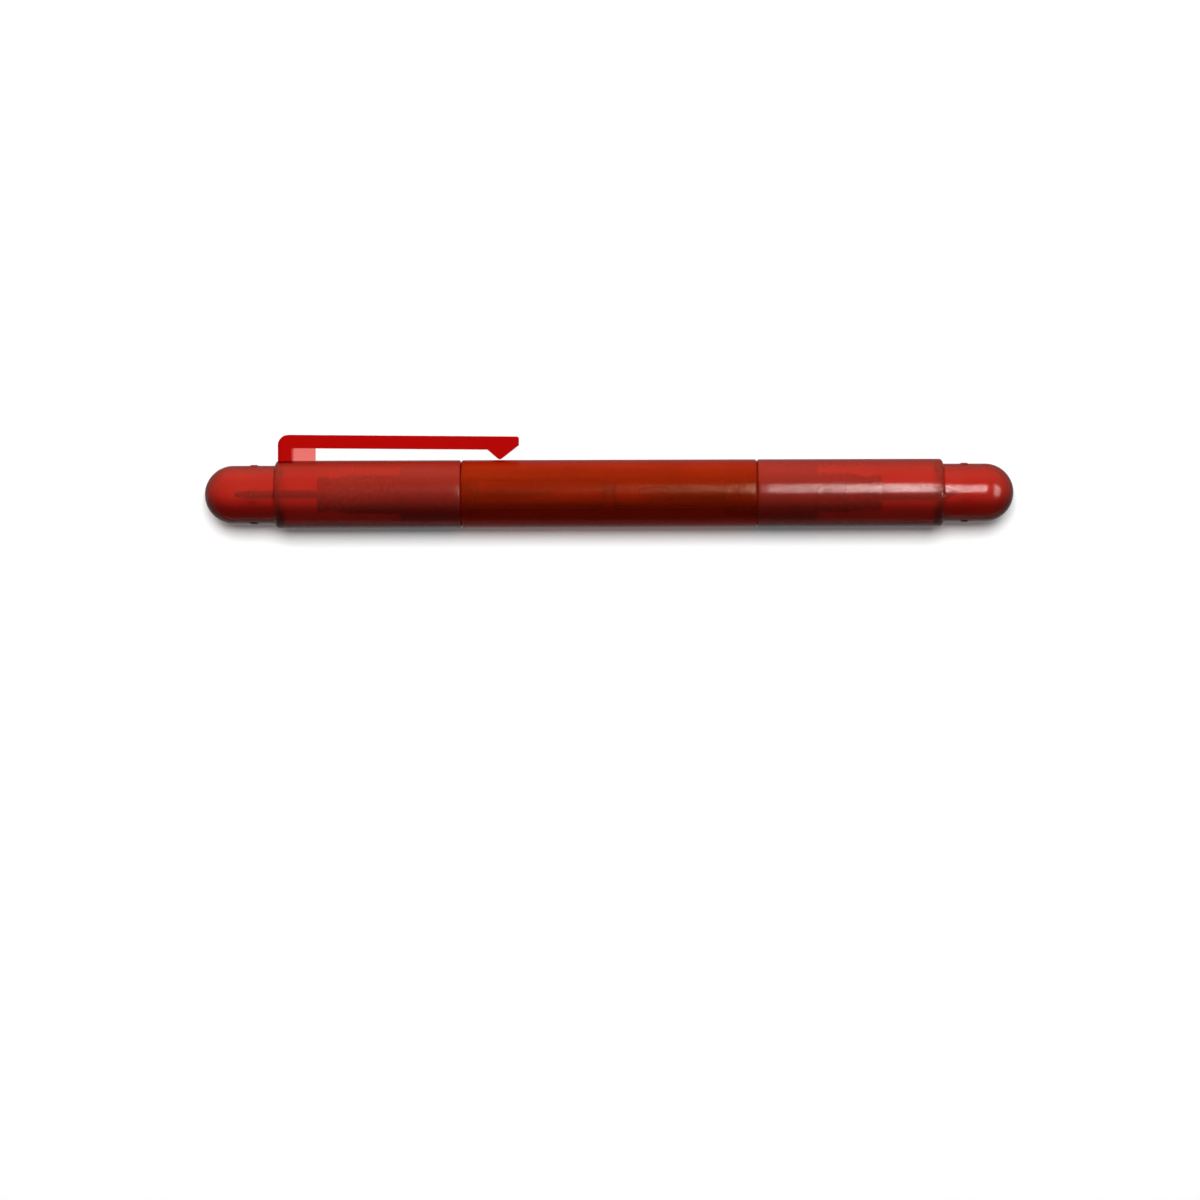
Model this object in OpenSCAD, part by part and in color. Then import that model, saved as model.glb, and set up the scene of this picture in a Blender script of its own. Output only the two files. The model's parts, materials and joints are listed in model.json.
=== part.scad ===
// Pen-shaped pocket screwdriver, closed. A translucent barrel stores two double-ended bits in
// hexagonal sockets, one at each end, under two push-on caps. One cap carries a springy pocket clip.
// X runs along the pen towards the plain cap. The pen lies on the plane Z = 0 as it comes to rest on a
// table, rolled onto the edge of its clip, with the middle of its box over the origin. Each piece is
// drawn about the pen's axis with the clip straight up, and then laid down. All lengths are in millimetres.

/* [Bit handles] */
// Width of both handles across the flats of their hexagon
handle_af = 6.2; // [5:0.1:8]
// How far a handle's rounded corners stand out past its flats, on the radius
handle_corner_rise = 0.33; // [0.1:0.01:0.4]
// Length of the round collar at each end of a handle
collar_len = 1.9; // [1:0.1:3]
// How far a collar lies inside the handle's flats, on the radius
collar_inset = 0.03; // [0:0.01:0.2]
// Length of the groove beside each collar
groove_len = 0.7; // [0.3:0.1:1.5]
// Depth of the groove below the collar
groove_depth = 0.33; // [0.1:0.01:0.6]
// Length of the curved flare between a groove and the hexagonal grip
flare_len = 4.3; // [2:0.1:6]
// Bevel on the outer edge of a collar
collar_bevel = 0.2; // [0.05:0.05:0.5]

/* [Small bit] */
// Diameter of the small rod
small_rod_d = 1.5; // [1:0.1:2.5]
// Length of the small bit's handle
small_handle_len = 27.6; // [22:0.1:34]
// How far the small flat blade reaches out of its handle
small_blade_reach = 13.3; // [10:0.1:18]
// How far the small cross point reaches out of its handle
small_point_reach = 14.6; // [10:0.1:18]
// Length of the ground faces on the small blade
small_blade_len = 4; // [2:0.1:7]
// Thickness of the small blade at its edge
small_blade_edge = 0.35; // [0.2:0.05:0.8]
// Length of the cone on the small cross point
small_point_len = 1.6; // [1:0.1:3]
// Diameter of the blunt end of the small cross point
small_point_end_d = 0.5; // [0.3:0.05:0.9]
// Length of the flutes behind the small cross point's end
small_flute_len = 3.4; // [2:0.1:6]
// Turn of the small bit in its socket, by one flat of the hexagon at a time
small_bit_turn = 60; // [0:60:300]
// How deep the small handle sits in its neck
small_seat_depth = 13.2; // [8:0.1:18]

/* [Large bit] */
// Diameter of the large rod
large_rod_d = 3; // [2:0.1:4]
// Length of the large bit's handle
large_handle_len = 27; // [22:0.1:34]
// How far the large flat blade reaches out of its handle
large_blade_reach = 14.8; // [10:0.1:18]
// How far the large cross point reaches out of its handle
large_point_reach = 13.3; // [10:0.1:18]
// Length of the ground faces on the large blade
large_blade_len = 5.4; // [3:0.1:8]
// Thickness of the large blade at its edge
large_blade_edge = 0.6; // [0.4:0.05:1.2]
// Length of the cone on the large cross point
large_point_len = 2.85; // [2:0.05:4]
// Diameter of the blunt end of the large cross point
large_point_end_d = 0.8; // [0.5:0.05:1.4]
// Length of the flutes behind the large cross point's end
large_flute_len = 6; // [4:0.1:9]
// Turn of the large bit in its socket, by one flat of the hexagon at a time
large_bit_turn = 0; // [0:60:300]
// How deep the large handle sits in its neck
large_seat_depth = 15.9; // [8:0.1:20]

/* [Barrel] */
// Wall of a neck at the corners of its socket
neck_wall = 1.3; // [0.8:0.05:2.5]
// Length of each neck that a cap pushes onto
neck_len = 10.5; // [6:0.1:14]
// Thickness of the wall in the middle of the barrel
divider_t = 1.5; // [0.8:0.1:4]
// Free room between the deeper blade and the middle wall
blade_room = 4.6; // [1:0.1:12]
// Free room around the large rod in the bores behind the sockets
rod_room = 0.9; // [0.3:0.05:1.3]
// Rounding of the blind ends of those bores
bore_end_r = 1; // [0.3:0.1:1.5]
// Rounding of the barrel's outer edges, and of the caps' mouths
edge_r = 0.4; // [0.1:0.05:0.6]
// Rounding of the necks' outer ends
neck_edge_r = 0.3; // [0.1:0.05:0.8]

/* [Caps] */
// Wall of the caps' sleeves
sleeve_wall = 0.8; // [0.5:0.05:2]
// Length of the narrower domed end
dome_len = 12.3; // [8:0.1:18]
// Wall of the domed end
dome_wall = 0.8; // [0.5:0.05:1.4]
// Free room between the further cross point and the inside of the dome
point_room = 4.15; // [1:0.05:12]
// Rounding of the shoulder between sleeve and dome
shoulder_r = 0.65; // [0.2:0.05:0.8]
// Bevel inside a cap's mouth that leads it onto the neck
mouth_bevel = 0.3; // [0.1:0.05:0.4]
// Length along the pen of the grip pads on the domed ends
pad_len = 1.25; // [0.6:0.05:2]
// Width of the grip pads around the pen
pad_w = 2.6; // [1:0.1:4]
// Height of the grip pads
pad_h = 0.15; // [0.05:0.01:0.3]
// Distance from the shoulder to the middle of the pads
pad_at = 3.75; // [1.5:0.05:5]

/* [Clip] */
// Length of the whole clip
clip_len = 41.6; // [30:0.1:50]
// Width of the clip
clip_w = 4.5; // [3:0.1:7]
// Thickness of the clip's arm
arm_t = 2.3; // [1.2:0.05:3]
// Gap between the arm and the sleeve at the clip's root
clip_gap = 2.15; // [1:0.05:4]
// How much lower the arm's tip lies than its root
arm_drop = 0.4; // [0:0.05:0.8]
// Distance from the shoulder to the clip's foot
foot_at = 0.5; // [0:0.1:3]
// Length of the foot along the pen
foot_len = 2.4; // [1.5:0.1:4]
// Rounding of the foot's upper corner
foot_r = 1.8; // [0.4:0.1:2]
// Length of the thin web beside the foot
web_len = 4; // [2:0.1:8]
// Thickness of the web
web_t = 0.8; // [0.5:0.05:1.5]
// Distance from the arm's end to the tip of its bead
bead_from_end = 3.3; // [2:0.1:6]
// Length of the bead's steep side along the arm
bead_steep_len = 2.15; // [1:0.05:4]
// Height of the arm's end face below its upper side
end_face_h = 1.5; // [0.6:0.1:2]
// Rounding of the upper corner at the arm's end
arm_end_r = 0.35; // [0.1:0.05:0.6]

/* [Fits] */
// Clearance of a handle in its socket, on each flat
socket_clearance = 0.1; // [0.03:0.01:0.2]
// Clearance of a cap on its neck, on the radius
cap_clearance = 0.05; // [0.03:0.01:0.1]
// Clearance between a cap's mouth and the barrel
seam_clearance = 0.05; // [0.02:0.01:0.2]
// Clearance between a handle's end and the floor of its socket
seat_clearance = 0.1; // [0.03:0.01:0.3]
// Clearance between the bead and the barrel
bead_clearance = 0.1; // [0.03:0.01:0.3]
// Clearance around the round root of the clip's arm
hinge_clearance = 0.06; // [0.03:0.01:0.1]
// Gap that parts a moulded handle from its rod, and the clip's foot from the sleeve
bond_gap = 0.02; // [0.01:0.01:0.03]

/* [Hidden] */
$fn = 72;

// How far cuts run past the material that they leave
overrun = 1;
// Width and thickness of the flattened stretch that anchors a rod, as shares of its diameter
anchor_w_share = 1.4;
anchor_t_share = 0.6;
// Length of that stretch, as a share of its handle
anchor_len_share = 0.3;
// Half the thickness of a cross point's wings at its end, as a share of the blunt end's diameter
wing_share = 0.3;

// Colours of the mouldings and the steel
barrel_colour = [0.55, 0.06, 0.02, 0.75];
cap_colour = [0.8, 0.1, 0.1, 0.55];
clip_colour = [0.82, 0.02, 0.03, 0.9];
handle_colour = [0.6, 0.02, 0.04, 0.9];
steel_colour = [0.8, 0.8, 0.78];

// Diameters, from the handles outwards
corner_r = handle_af / 2 + handle_corner_rise;
collar_r = handle_af / 2 - collar_inset;
groove_r = collar_r - groove_depth;
socket_af = handle_af + 2 * socket_clearance;
socket_corner_d = socket_af / cos(30);
rod_bore_r = large_rod_d / 2 + rod_room;
neck_r = socket_corner_d / 2 + neck_wall;
cap_bore_r = neck_r + cap_clearance;
body_r = cap_bore_r + sleeve_wall;
dome_r = neck_r;
dome_bore_r = dome_r - dome_wall;
step_h = body_r - dome_r;

// Places along the pen, as distances from its middle
neck_end = divider_t / 2 + blade_room
    + max(small_blade_reach + small_seat_depth, large_blade_reach + large_seat_depth);
body_end = neck_end - neck_len;
small_seat = neck_end - small_seat_depth;
large_seat = neck_end - large_seat_depth;
small_point_end = small_seat + small_handle_len + small_point_reach;
large_point_end = large_seat + large_handle_len + large_point_reach;
cap_end = max(small_point_end, large_point_end) + point_room + dome_wall;
shoulder = cap_end - dome_len;
mouth = body_end + seam_clearance;

// Places on the clip, along the pen from the foot's outer face and up from the pen's axis
arm_root_z = body_r + clip_gap + arm_t / 2;
hinge_r = arm_t / 2;
hinge_seat_r = hinge_r + hinge_clearance;
hinge_u = foot_len + web_len + hinge_seat_r;
arm_len = clip_len - hinge_u;
arm_tilt = asin(arm_drop / arm_len);
bead_u = arm_len - bead_from_end;
bead_depth = (arm_root_z - body_r - bead_clearance - bead_u * sin(arm_tilt)) / cos(arm_tilt);
clip_start_x = foot_at - shoulder;
clip_top = arm_root_z + hinge_r;

// How the pen lies: its roll away from clip up, and the place of its axis across its box
clip_edge_r = norm([clip_top, clip_w / 2]);
rest_turn = 90 + asin(body_r / clip_edge_r) - atan(clip_w / 2 / clip_top);
clip_side_y = clip_top * sin(rest_turn) - clip_w / 2 * cos(rest_turn);
axis_y = (body_r - clip_side_y) / 2;

// Half outline of a round bar about its axis, with a rounded edge of its own at each end
module bar_outline(r, low, high, low_edge, high_edge) {
    square_from(0, low + low_edge, r, high - high_edge);
    square_from(0, low, r - low_edge, high - high_edge);
    square_from(0, low + low_edge, r - high_edge, high);
    intersection() {
        square_from(0, low, r, high);
        union() {
            translate([r - low_edge, low + low_edge]) circle(low_edge);
            translate([r - high_edge, high - high_edge]) circle(high_edge);
        }
    }
}

// Rectangle between two corners
module square_from(x0, y0, x1, y1) {
    translate([x0, y0]) square([x1 - x0, y1 - y0]);
}

// Lays a piece that was drawn about the pen's axis, with the clip up, on the table
module at_rest() {
    translate([0, axis_y, body_r]) rotate([-rest_turn, 0, 0]) children();
}

// Turns a piece that was drawn about Z along the pen
module along_pen() {
    rotate([0, 90, 0]) children();
}

// Takes a piece from the right half of the pen to the left half
module to_left() {
    mirror([1, 0, 0]) children();
}

// Hexagonal bar with two corners up and down on the pen
module hex_bar(af, length) {
    cylinder(d = af / cos(30), h = length, $fn = 6);
}

// One socket from its floor outwards, with the bore for the rod behind it
module socket_cut(seat) {
    translate([0, 0, seat]) hex_bar(socket_af, neck_end - seat + overrun);
    bore_end = seat + overrun + bore_end_r;
    rotate_extrude() bar_outline(rod_bore_r, divider_t / 2, bore_end, bore_end_r, bore_end_r);
}

module barrel() {
    color(barrel_colour) at_rest() along_pen() difference() {
        rotate_extrude() {
            bar_outline(body_r, -body_end, body_end, edge_r, edge_r);
            bar_outline(neck_r, -neck_end, neck_end, neck_edge_r, neck_edge_r);
        }
        socket_cut(large_seat - seat_clearance);
        mirror([0, 0, 1]) socket_cut(small_seat - seat_clearance);
    }
}

// Solid outside of a cap, from its mouth to the tip of its dome
module cap_outside() {
    shoulder_edge = min(shoulder_r, step_h);
    rotate_extrude() bar_outline(body_r, mouth, shoulder, edge_r, shoulder_edge);
    translate([0, 0, mouth + edge_r]) cylinder(r = dome_r, h = cap_end - dome_r - mouth - edge_r);
    translate([0, 0, cap_end - dome_r]) sphere(dome_r);
    grip_pads();
}

// Four low pads around the dome, which grip a cap that is pushed on there while a bit is in use
module grip_pads() {
    translate([0, 0, shoulder + pad_at - pad_len / 2]) intersection() {
        cylinder(r = dome_r + pad_h, h = pad_len);
        for (turn = [0, 90]) {
            rotate([0, 0, turn]) translate([-body_r, -pad_w / 2, 0]) cube([2 * body_r, pad_w, pad_len]);
        }
    }
}

// Hollow of a cap: the sleeve's bore, a taper to the narrower dome, and the dome's own hollow
module cap_inside() {
    taper_end = shoulder - dome_wall;
    dome_centre = cap_end - dome_r;
    rotate_extrude() polygon([
        [0, mouth - overrun],
        [cap_bore_r + mouth_bevel, mouth - overrun],
        [cap_bore_r + mouth_bevel, mouth],
        [cap_bore_r, mouth + mouth_bevel],
        [cap_bore_r, taper_end - dome_wall],
        [dome_bore_r, taper_end],
        [dome_bore_r, dome_centre],
        [0, dome_centre]
    ]);
    translate([0, 0, dome_centre]) sphere(dome_bore_r);
}

module cap_shell() {
    along_pen() difference() {
        cap_outside();
        cap_inside();
    }
}

module plain_cap() {
    color(cap_colour) at_rest() cap_shell();
}

module clip_cap() {
    color(cap_colour) at_rest() to_left() cap_shell();
}

// Takes a piece of the clip, drawn from the foot's outer face and the pen's axis, to its place
module on_clip_cap() {
    at_rest() translate([clip_start_x, 0, 0]) children();
}

// Carries an outline in the clip's side view through a width, centred on the pen
module clip_slab(width) {
    rotate([90, 0, 0]) linear_extrude(width, center = true) children();
}

// Side view of the foot and the arm's fixed root
module post_outline() {
    square_from(0, 0, foot_len, clip_top - foot_r);
    square_from(foot_r, 0, foot_len, clip_top);
    intersection() {
        square_from(0, 0, foot_len, clip_top);
        translate([foot_r, clip_top - foot_r]) circle(foot_r);
    }
    square_from(foot_r, clip_top - arm_t, hinge_u, clip_top);
}

module clip_post() {
    web_end = foot_len + web_len;
    color(clip_colour) on_clip_cap() difference() {
        union() {
            clip_slab(clip_w) post_outline();
            clip_slab(web_t) square_from(foot_len / 2, 0, web_end, arm_root_z);
        }
        translate([hinge_u, 0, arm_root_z]) clip_slab(clip_w + overrun) circle(hinge_seat_r);
        rotate([0, 90, 0]) translate([0, 0, -overrun]) cylinder(
            r = body_r + bond_gap, h = clip_len + 2 * overrun);
    }
}

// Side view of the sprung arm from its round root on the hinge line, with the bead under its end
module arm_outline() {
    top = hinge_r;
    circle(hinge_r);
    polygon([
        [0, -top],
        [bead_u - bead_steep_len, -top],
        [bead_u, -bead_depth],
        [arm_len, top - end_face_h],
        [arm_len, top - arm_end_r],
        [arm_len - arm_end_r, top],
        [0, top]
    ]);
    translate([arm_len - arm_end_r, top - arm_end_r]) intersection() {
        circle(arm_end_r);
        square(arm_end_r);
    }
}

module pocket_clip() {
    color(clip_colour) on_clip_cap() translate([hinge_u, 0, arm_root_z]) rotate([0, arm_tilt, 0])
        clip_slab(clip_w) arm_outline();
}

// Half outline of a handle: collar, groove, curved flare, grip, and the same again
module handle_outline(length) {
    flare_start = collar_len + groove_len;
    flare_end = flare_start + flare_len;
    flare_rise = corner_r - groove_r;
    flare_r = (flare_len * flare_len + flare_rise * flare_rise) / (2 * flare_rise);
    square_from(0, flare_end, corner_r, length - flare_end);
    square_from(0, collar_bevel, groove_r, length - collar_bevel);
    for (far = [false, true]) {
        translate([0, far ? length : 0]) mirror([0, far ? 1 : 0]) {
            polygon([
                [0, 0],
                [collar_r - collar_bevel, 0],
                [collar_r, collar_bevel],
                [collar_r, collar_len],
                [0, collar_len]
            ]);
            intersection() {
                translate([corner_r - flare_r, flare_end]) circle(flare_r);
                square_from(0, flare_start, corner_r, length / 2);
            }
        }
    }
}

// Flattened stretch in the middle of a rod, which the handle's plastic grips
module anchor(rod_d, handle_len, gap) {
    size = [rod_d * anchor_w_share, rod_d * anchor_t_share, handle_len * anchor_len_share];
    translate([0, 0, handle_len / 2]) cube(size + 2 * [gap, gap, gap], center = true);
}

// A handle from its inner end at zero, with the passage that its rod fills
module bit_handle(length, rod_d) {
    difference() {
        intersection() {
            rotate_extrude() handle_outline(length);
            translate([0, 0, -overrun]) hex_bar(handle_af, length + 2 * overrun);
        }
        translate([0, 0, -overrun]) cylinder(d = rod_d + 2 * bond_gap, h = length + 2 * overrun);
        anchor(rod_d, length, bond_gap);
    }
}

// The two round grinding cuts that leave a flat blade, level with each other just behind its end
module blade_cuts(rod_d, edge, blade_len, tip) {
    depth = (rod_d - edge) / 2;
    run = blade_len - edge;
    wheel_r = (run * run + depth * depth) / (2 * depth);
    for (side = [-1, 1]) {
        translate([0, side * (edge / 2 + wheel_r), tip + edge]) rotate([0, 90, 0])
            cylinder(r = wheel_r, h = rod_d + overrun, center = true);
    }
}

// The four sloping flutes that leave a cross point, deepest at the rod's outer end
module flute_cuts(rod_d, end_d, flute_len, tip) {
    root = end_d * wing_share / cos(45);
    slope = atan((rod_d / 2 - root) / flute_len);
    for (turn = [45:90:315]) {
        rotate([0, 0, turn]) translate([root, 0, tip]) rotate([0, -slope, 0]) rotate([0, 0, -45])
            translate([0, 0, -flute_len - overrun]) cube([rod_d, rod_d, flute_len + 2 * overrun]);
    }
}

// A rod in its handle's own frame: blade below zero, cross point past the handle's outer end
module bit_rod(rod_d, handle_len, blade_reach, point_reach, blade, point) {
    tip = handle_len + point_reach;
    difference() {
        union() {
            rotate_extrude() polygon([
                [0, -blade_reach],
                [rod_d / 2, -blade_reach],
                [rod_d / 2, tip - point[0]],
                [point[1] / 2, tip],
                [0, tip]
            ]);
            anchor(rod_d, handle_len, 0);
        }
        blade_cuts(rod_d, blade[1], blade[0], -blade_reach);
        flute_cuts(rod_d, point[1], point[2], tip);
    }
}

// Places a piece of the small bit in the left socket
module in_small_socket() {
    at_rest() to_left() along_pen() translate([0, 0, small_seat]) rotate([0, 0, small_bit_turn]) children();
}

// Places a piece of the large bit in the right socket
module in_large_socket() {
    at_rest() along_pen() translate([0, 0, large_seat]) rotate([0, 0, large_bit_turn]) children();
}

module small_bit_handle() {
    color(handle_colour) in_small_socket() bit_handle(small_handle_len, small_rod_d);
}

module small_bit_rod() {
    color(steel_colour) in_small_socket() bit_rod(
        small_rod_d, small_handle_len, small_blade_reach, small_point_reach,
        [small_blade_len, small_blade_edge],
        [small_point_len, small_point_end_d, small_flute_len]);
}

module large_bit_handle() {
    color(handle_colour) in_large_socket() bit_handle(large_handle_len, large_rod_d);
}

module large_bit_rod() {
    color(steel_colour) in_large_socket() bit_rod(
        large_rod_d, large_handle_len, large_blade_reach, large_point_reach,
        [large_blade_len, large_blade_edge],
        [large_point_len, large_point_end_d, large_flute_len]);
}

barrel();
clip_cap();
clip_post();
pocket_clip();
plain_cap();
small_bit_handle();
small_bit_rod();
large_bit_handle();
large_bit_rod();
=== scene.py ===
"""Looks of a pen-shaped pocket screwdriver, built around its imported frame.

Every piece is drawn in the pen's own frame, in millimetres: X runs along the pen towards the plain cap,
Z points to the clip and Y away from the viewer. PenFrame lays the points on the table, in metres.
"""

import json
import logging
from dataclasses import dataclass, field
from enum import Enum

import bpy
import numpy as np
from mathutils import Matrix, Vector

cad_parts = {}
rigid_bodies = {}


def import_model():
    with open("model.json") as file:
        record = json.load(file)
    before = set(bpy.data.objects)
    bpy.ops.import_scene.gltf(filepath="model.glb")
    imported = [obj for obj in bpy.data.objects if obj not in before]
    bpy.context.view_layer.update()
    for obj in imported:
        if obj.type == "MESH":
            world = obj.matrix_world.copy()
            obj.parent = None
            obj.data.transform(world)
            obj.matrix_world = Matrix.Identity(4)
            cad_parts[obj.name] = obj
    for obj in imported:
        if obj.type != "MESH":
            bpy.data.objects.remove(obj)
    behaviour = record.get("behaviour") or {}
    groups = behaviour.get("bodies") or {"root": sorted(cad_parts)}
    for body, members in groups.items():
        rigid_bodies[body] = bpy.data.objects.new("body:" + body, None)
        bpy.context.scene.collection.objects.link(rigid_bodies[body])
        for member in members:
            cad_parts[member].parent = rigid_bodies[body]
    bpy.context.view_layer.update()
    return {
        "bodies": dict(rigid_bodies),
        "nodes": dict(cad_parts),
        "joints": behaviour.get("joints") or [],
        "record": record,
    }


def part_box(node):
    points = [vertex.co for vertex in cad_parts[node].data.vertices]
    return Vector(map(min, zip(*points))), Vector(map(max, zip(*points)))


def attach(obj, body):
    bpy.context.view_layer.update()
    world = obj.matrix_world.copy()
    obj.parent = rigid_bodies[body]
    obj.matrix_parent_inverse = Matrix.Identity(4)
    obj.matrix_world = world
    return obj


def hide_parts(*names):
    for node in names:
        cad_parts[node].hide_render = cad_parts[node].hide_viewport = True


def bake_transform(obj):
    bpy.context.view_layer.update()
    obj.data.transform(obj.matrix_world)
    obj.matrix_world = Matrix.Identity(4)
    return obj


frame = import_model()

LOG = logging.getLogger("pocket_screwdriver")
MM = 0.001
COLUMNS = 192
SMOOTH_ANGLE = np.radians(32.0)
TINY = 1e-6
PLASTIC_IOR = 1.15
COAT_ROUGHNESS = 0.2
STREAK_WIDTH = 0.0022
# Share of the deep colour that the painted shade along the silhouettes darkens to.
PAINTED_RIM_SHADE_SHARE = (0.55, 0.15, 0.15)

Array = np.ndarray


class Side(Enum):
    """The half of the pen that a piece belongs to, with the sign of its places along the pen."""

    LEFT = -1
    RIGHT = 1


class Ends(Enum):
    """How a skin's first and last row are closed: by fans, by flat faces, or by joining each other."""

    FAN = "fan"
    FLAT = "flat"
    RING = "ring"


class Light(Enum):
    """What a lamp shines on."""

    PEN = "pen"
    SHELL = "shell"
    BITS = "bits"
    TABLE = "table"


@dataclass(frozen=True)
class PenFrame:
    """How the pen lies on the table.

    Attributes:
        axis_y: place of the pen's axis across the table, in millimetres.
        axis_z: height of the pen's axis over the table, which is also the body's radius.
        clip_y: first part of the unit vector from the axis to the clip, across the table.
        clip_z: second part of that vector, upwards.
    """

    axis_y: float
    axis_z: float
    clip_y: float
    clip_z: float

    @classmethod
    def from_packed(cls, packed: dict) -> "PenFrame":
        """Read the pen's place from the barrel's box and the clip's hinge.


        Returns:
            The frame of the closed pen.
        """
        low, high = (np.array(corner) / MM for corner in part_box("barrel"))
        axis = (low + high)[1:] / 2
        hinge = next(joint for joint in packed["joints"] if joint["name"] == "clip_flex")
        reach = np.array(hinge["pos_m"][1:]) / MM - axis
        clip = reach / np.linalg.norm(reach)
        return cls(float(axis[0]), float(axis[1]), float(clip[0]), float(clip[1]))

    @property
    def body_r(self) -> float:
        """Radius of the barrel and of the caps' sleeves."""
        return self.axis_z

    def lay(self, points: Array) -> Array:
        """Turn points about the pen's axis onto the table: y and z follow the clip's direction.

        Args:
            points: an array of three columns in the pen's own frame, in millimetres.

        Returns:
            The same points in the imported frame, in metres.
        """
        x, y, z = np.asarray(points, float).T
        across = self.axis_y + y * self.clip_z + z * self.clip_y
        height = self.axis_z - y * self.clip_y + z * self.clip_z
        return np.column_stack((x, across, height)) * MM

    def point(self, x: float, y: float, z: float) -> Vector:
        """Lay a single point."""
        return Vector(self.lay(np.array([[x, y, z]]))[0])


def span(node: str) -> tuple[float, float]:
    """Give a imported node's nearer and further distance from the pen's middle, in millimetres.

    Args:
        node: name of a node that lies in one half of the pen.

    Returns:
        The two distances, the smaller one first.
    """
    low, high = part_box(node)
    near, far = sorted((abs(low.x) / MM, abs(high.x) / MM))
    return near, far


def reach(node: str) -> tuple[float, float]:
    """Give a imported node's lowest and highest place along the pen, in millimetres."""
    low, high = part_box(node)
    return low.x / MM, high.x / MM


def smooth(edge0: float, edge1: float, values: Array) -> Array:
    """Ease from 0 at edge0 to 1 at edge1 by the cubic 3t2 - 2t3."""
    t = np.clip((values - edge0) / (edge1 - edge0), 0.0, 1.0)
    return t * t * (3.0 - 2.0 * t)


def arc(x: float, r: float, radius: float, start: float, end: float, steps: int = 8) -> Array:
    """Points of a circle in the outline's plane: the centre plus the radius at even angles.

    Args:
        x: the centre's place along the pen.
        r: the centre's distance from the axis.
        radius: the arc's radius.
        start: first angle in degrees, from the pen's outer end towards the outside.
        end: last angle in degrees.
        steps: number of stretches.

    Returns:
        Rows of place along the pen and distance from the axis.
    """
    angle = np.radians(np.linspace(start, end, steps + 1))
    return np.column_stack((x + radius * np.cos(angle), r + radius * np.sin(angle)))


def line(x0: float, r0: float, x1: float, r1: float, step: float = 2.0) -> Array:
    """Evenly spaced points of a straight stretch: the first end plus even shares of the way.

    Args:
        x0: the first end's place along the pen.
        r0: the first end's distance from the axis.
        x1: the second end's place along the pen.
        r1: the second end's distance from the axis.
        step: the widest spacing.

    Returns:
        Rows of place along the pen and distance from the axis.
    """
    count = max(1, int(np.ceil(np.hypot(x1 - x0, r1 - r0) / step)))
    share = np.linspace(0.0, 1.0, count + 1)
    return np.column_stack((x0 + (x1 - x0) * share, r0 + (r1 - r0) * share))


def join(*stretches: Array) -> Array:
    """Chain stretches of an outline, leaving out the points that repeat.

    Args:
        stretches: rows of points, in order.

    Returns:
        The rows of the whole outline.
    """
    chain = np.vstack(stretches)
    keep = np.ones(len(chain), bool)
    keep[1:] = np.linalg.norm(np.diff(chain, axis=0), axis=1) > TINY
    return chain[keep]


def turns(columns: int = COLUMNS) -> Array:
    """Even angles around the axis, from the clip's direction."""
    return np.arange(columns) * 2.0 * np.pi / columns


def hexagon(angles: Array, across_flats: float, sharpness: float = 70.0) -> Array:
    """Radius of a hexagon with two corners on Z and slightly rounded corners.

    It is the power mean of the six flats: the distance to each flat, cos(angle) over half the width
    across flats, raised to the sharpness, summed and raised back.

    Args:
        angles: angles around the axis, in radians.
        across_flats: width across the flats.
        sharpness: the power, which rounds the corners less when it is higher.

    Returns:
        The radius at each angle.
    """
    flats = np.radians(np.arange(30.0, 390.0, 60.0))
    facing = np.clip(np.cos(angles[..., None] - flats), 0.0, None) / (across_flats / 2.0)
    return np.sum(facing ** sharpness, axis=-1) ** (-1.0 / sharpness)


def soft_min(first: Array, second: Array, sharpness: float = 70.0) -> Array:
    """Smaller of two radii, with a small rounding where they cross."""
    return (first ** -sharpness + second ** -sharpness) ** (-1.0 / sharpness)


def around(places: Array, radii: Array, angles: Array) -> Array:
    """Carry radii around the axis: x stays, y is r sin(angle) and z is r cos(angle).

    Args:
        places: place along the pen of each row.
        radii: radius of each row and column.
        angles: angle of each column.

    Returns:
        A grid of points, rows by columns by three.
    """
    rows = np.broadcast_to(places[:, None], radii.shape)
    return np.stack((rows, radii * np.sin(angles), radii * np.cos(angles)), axis=-1)


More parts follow.
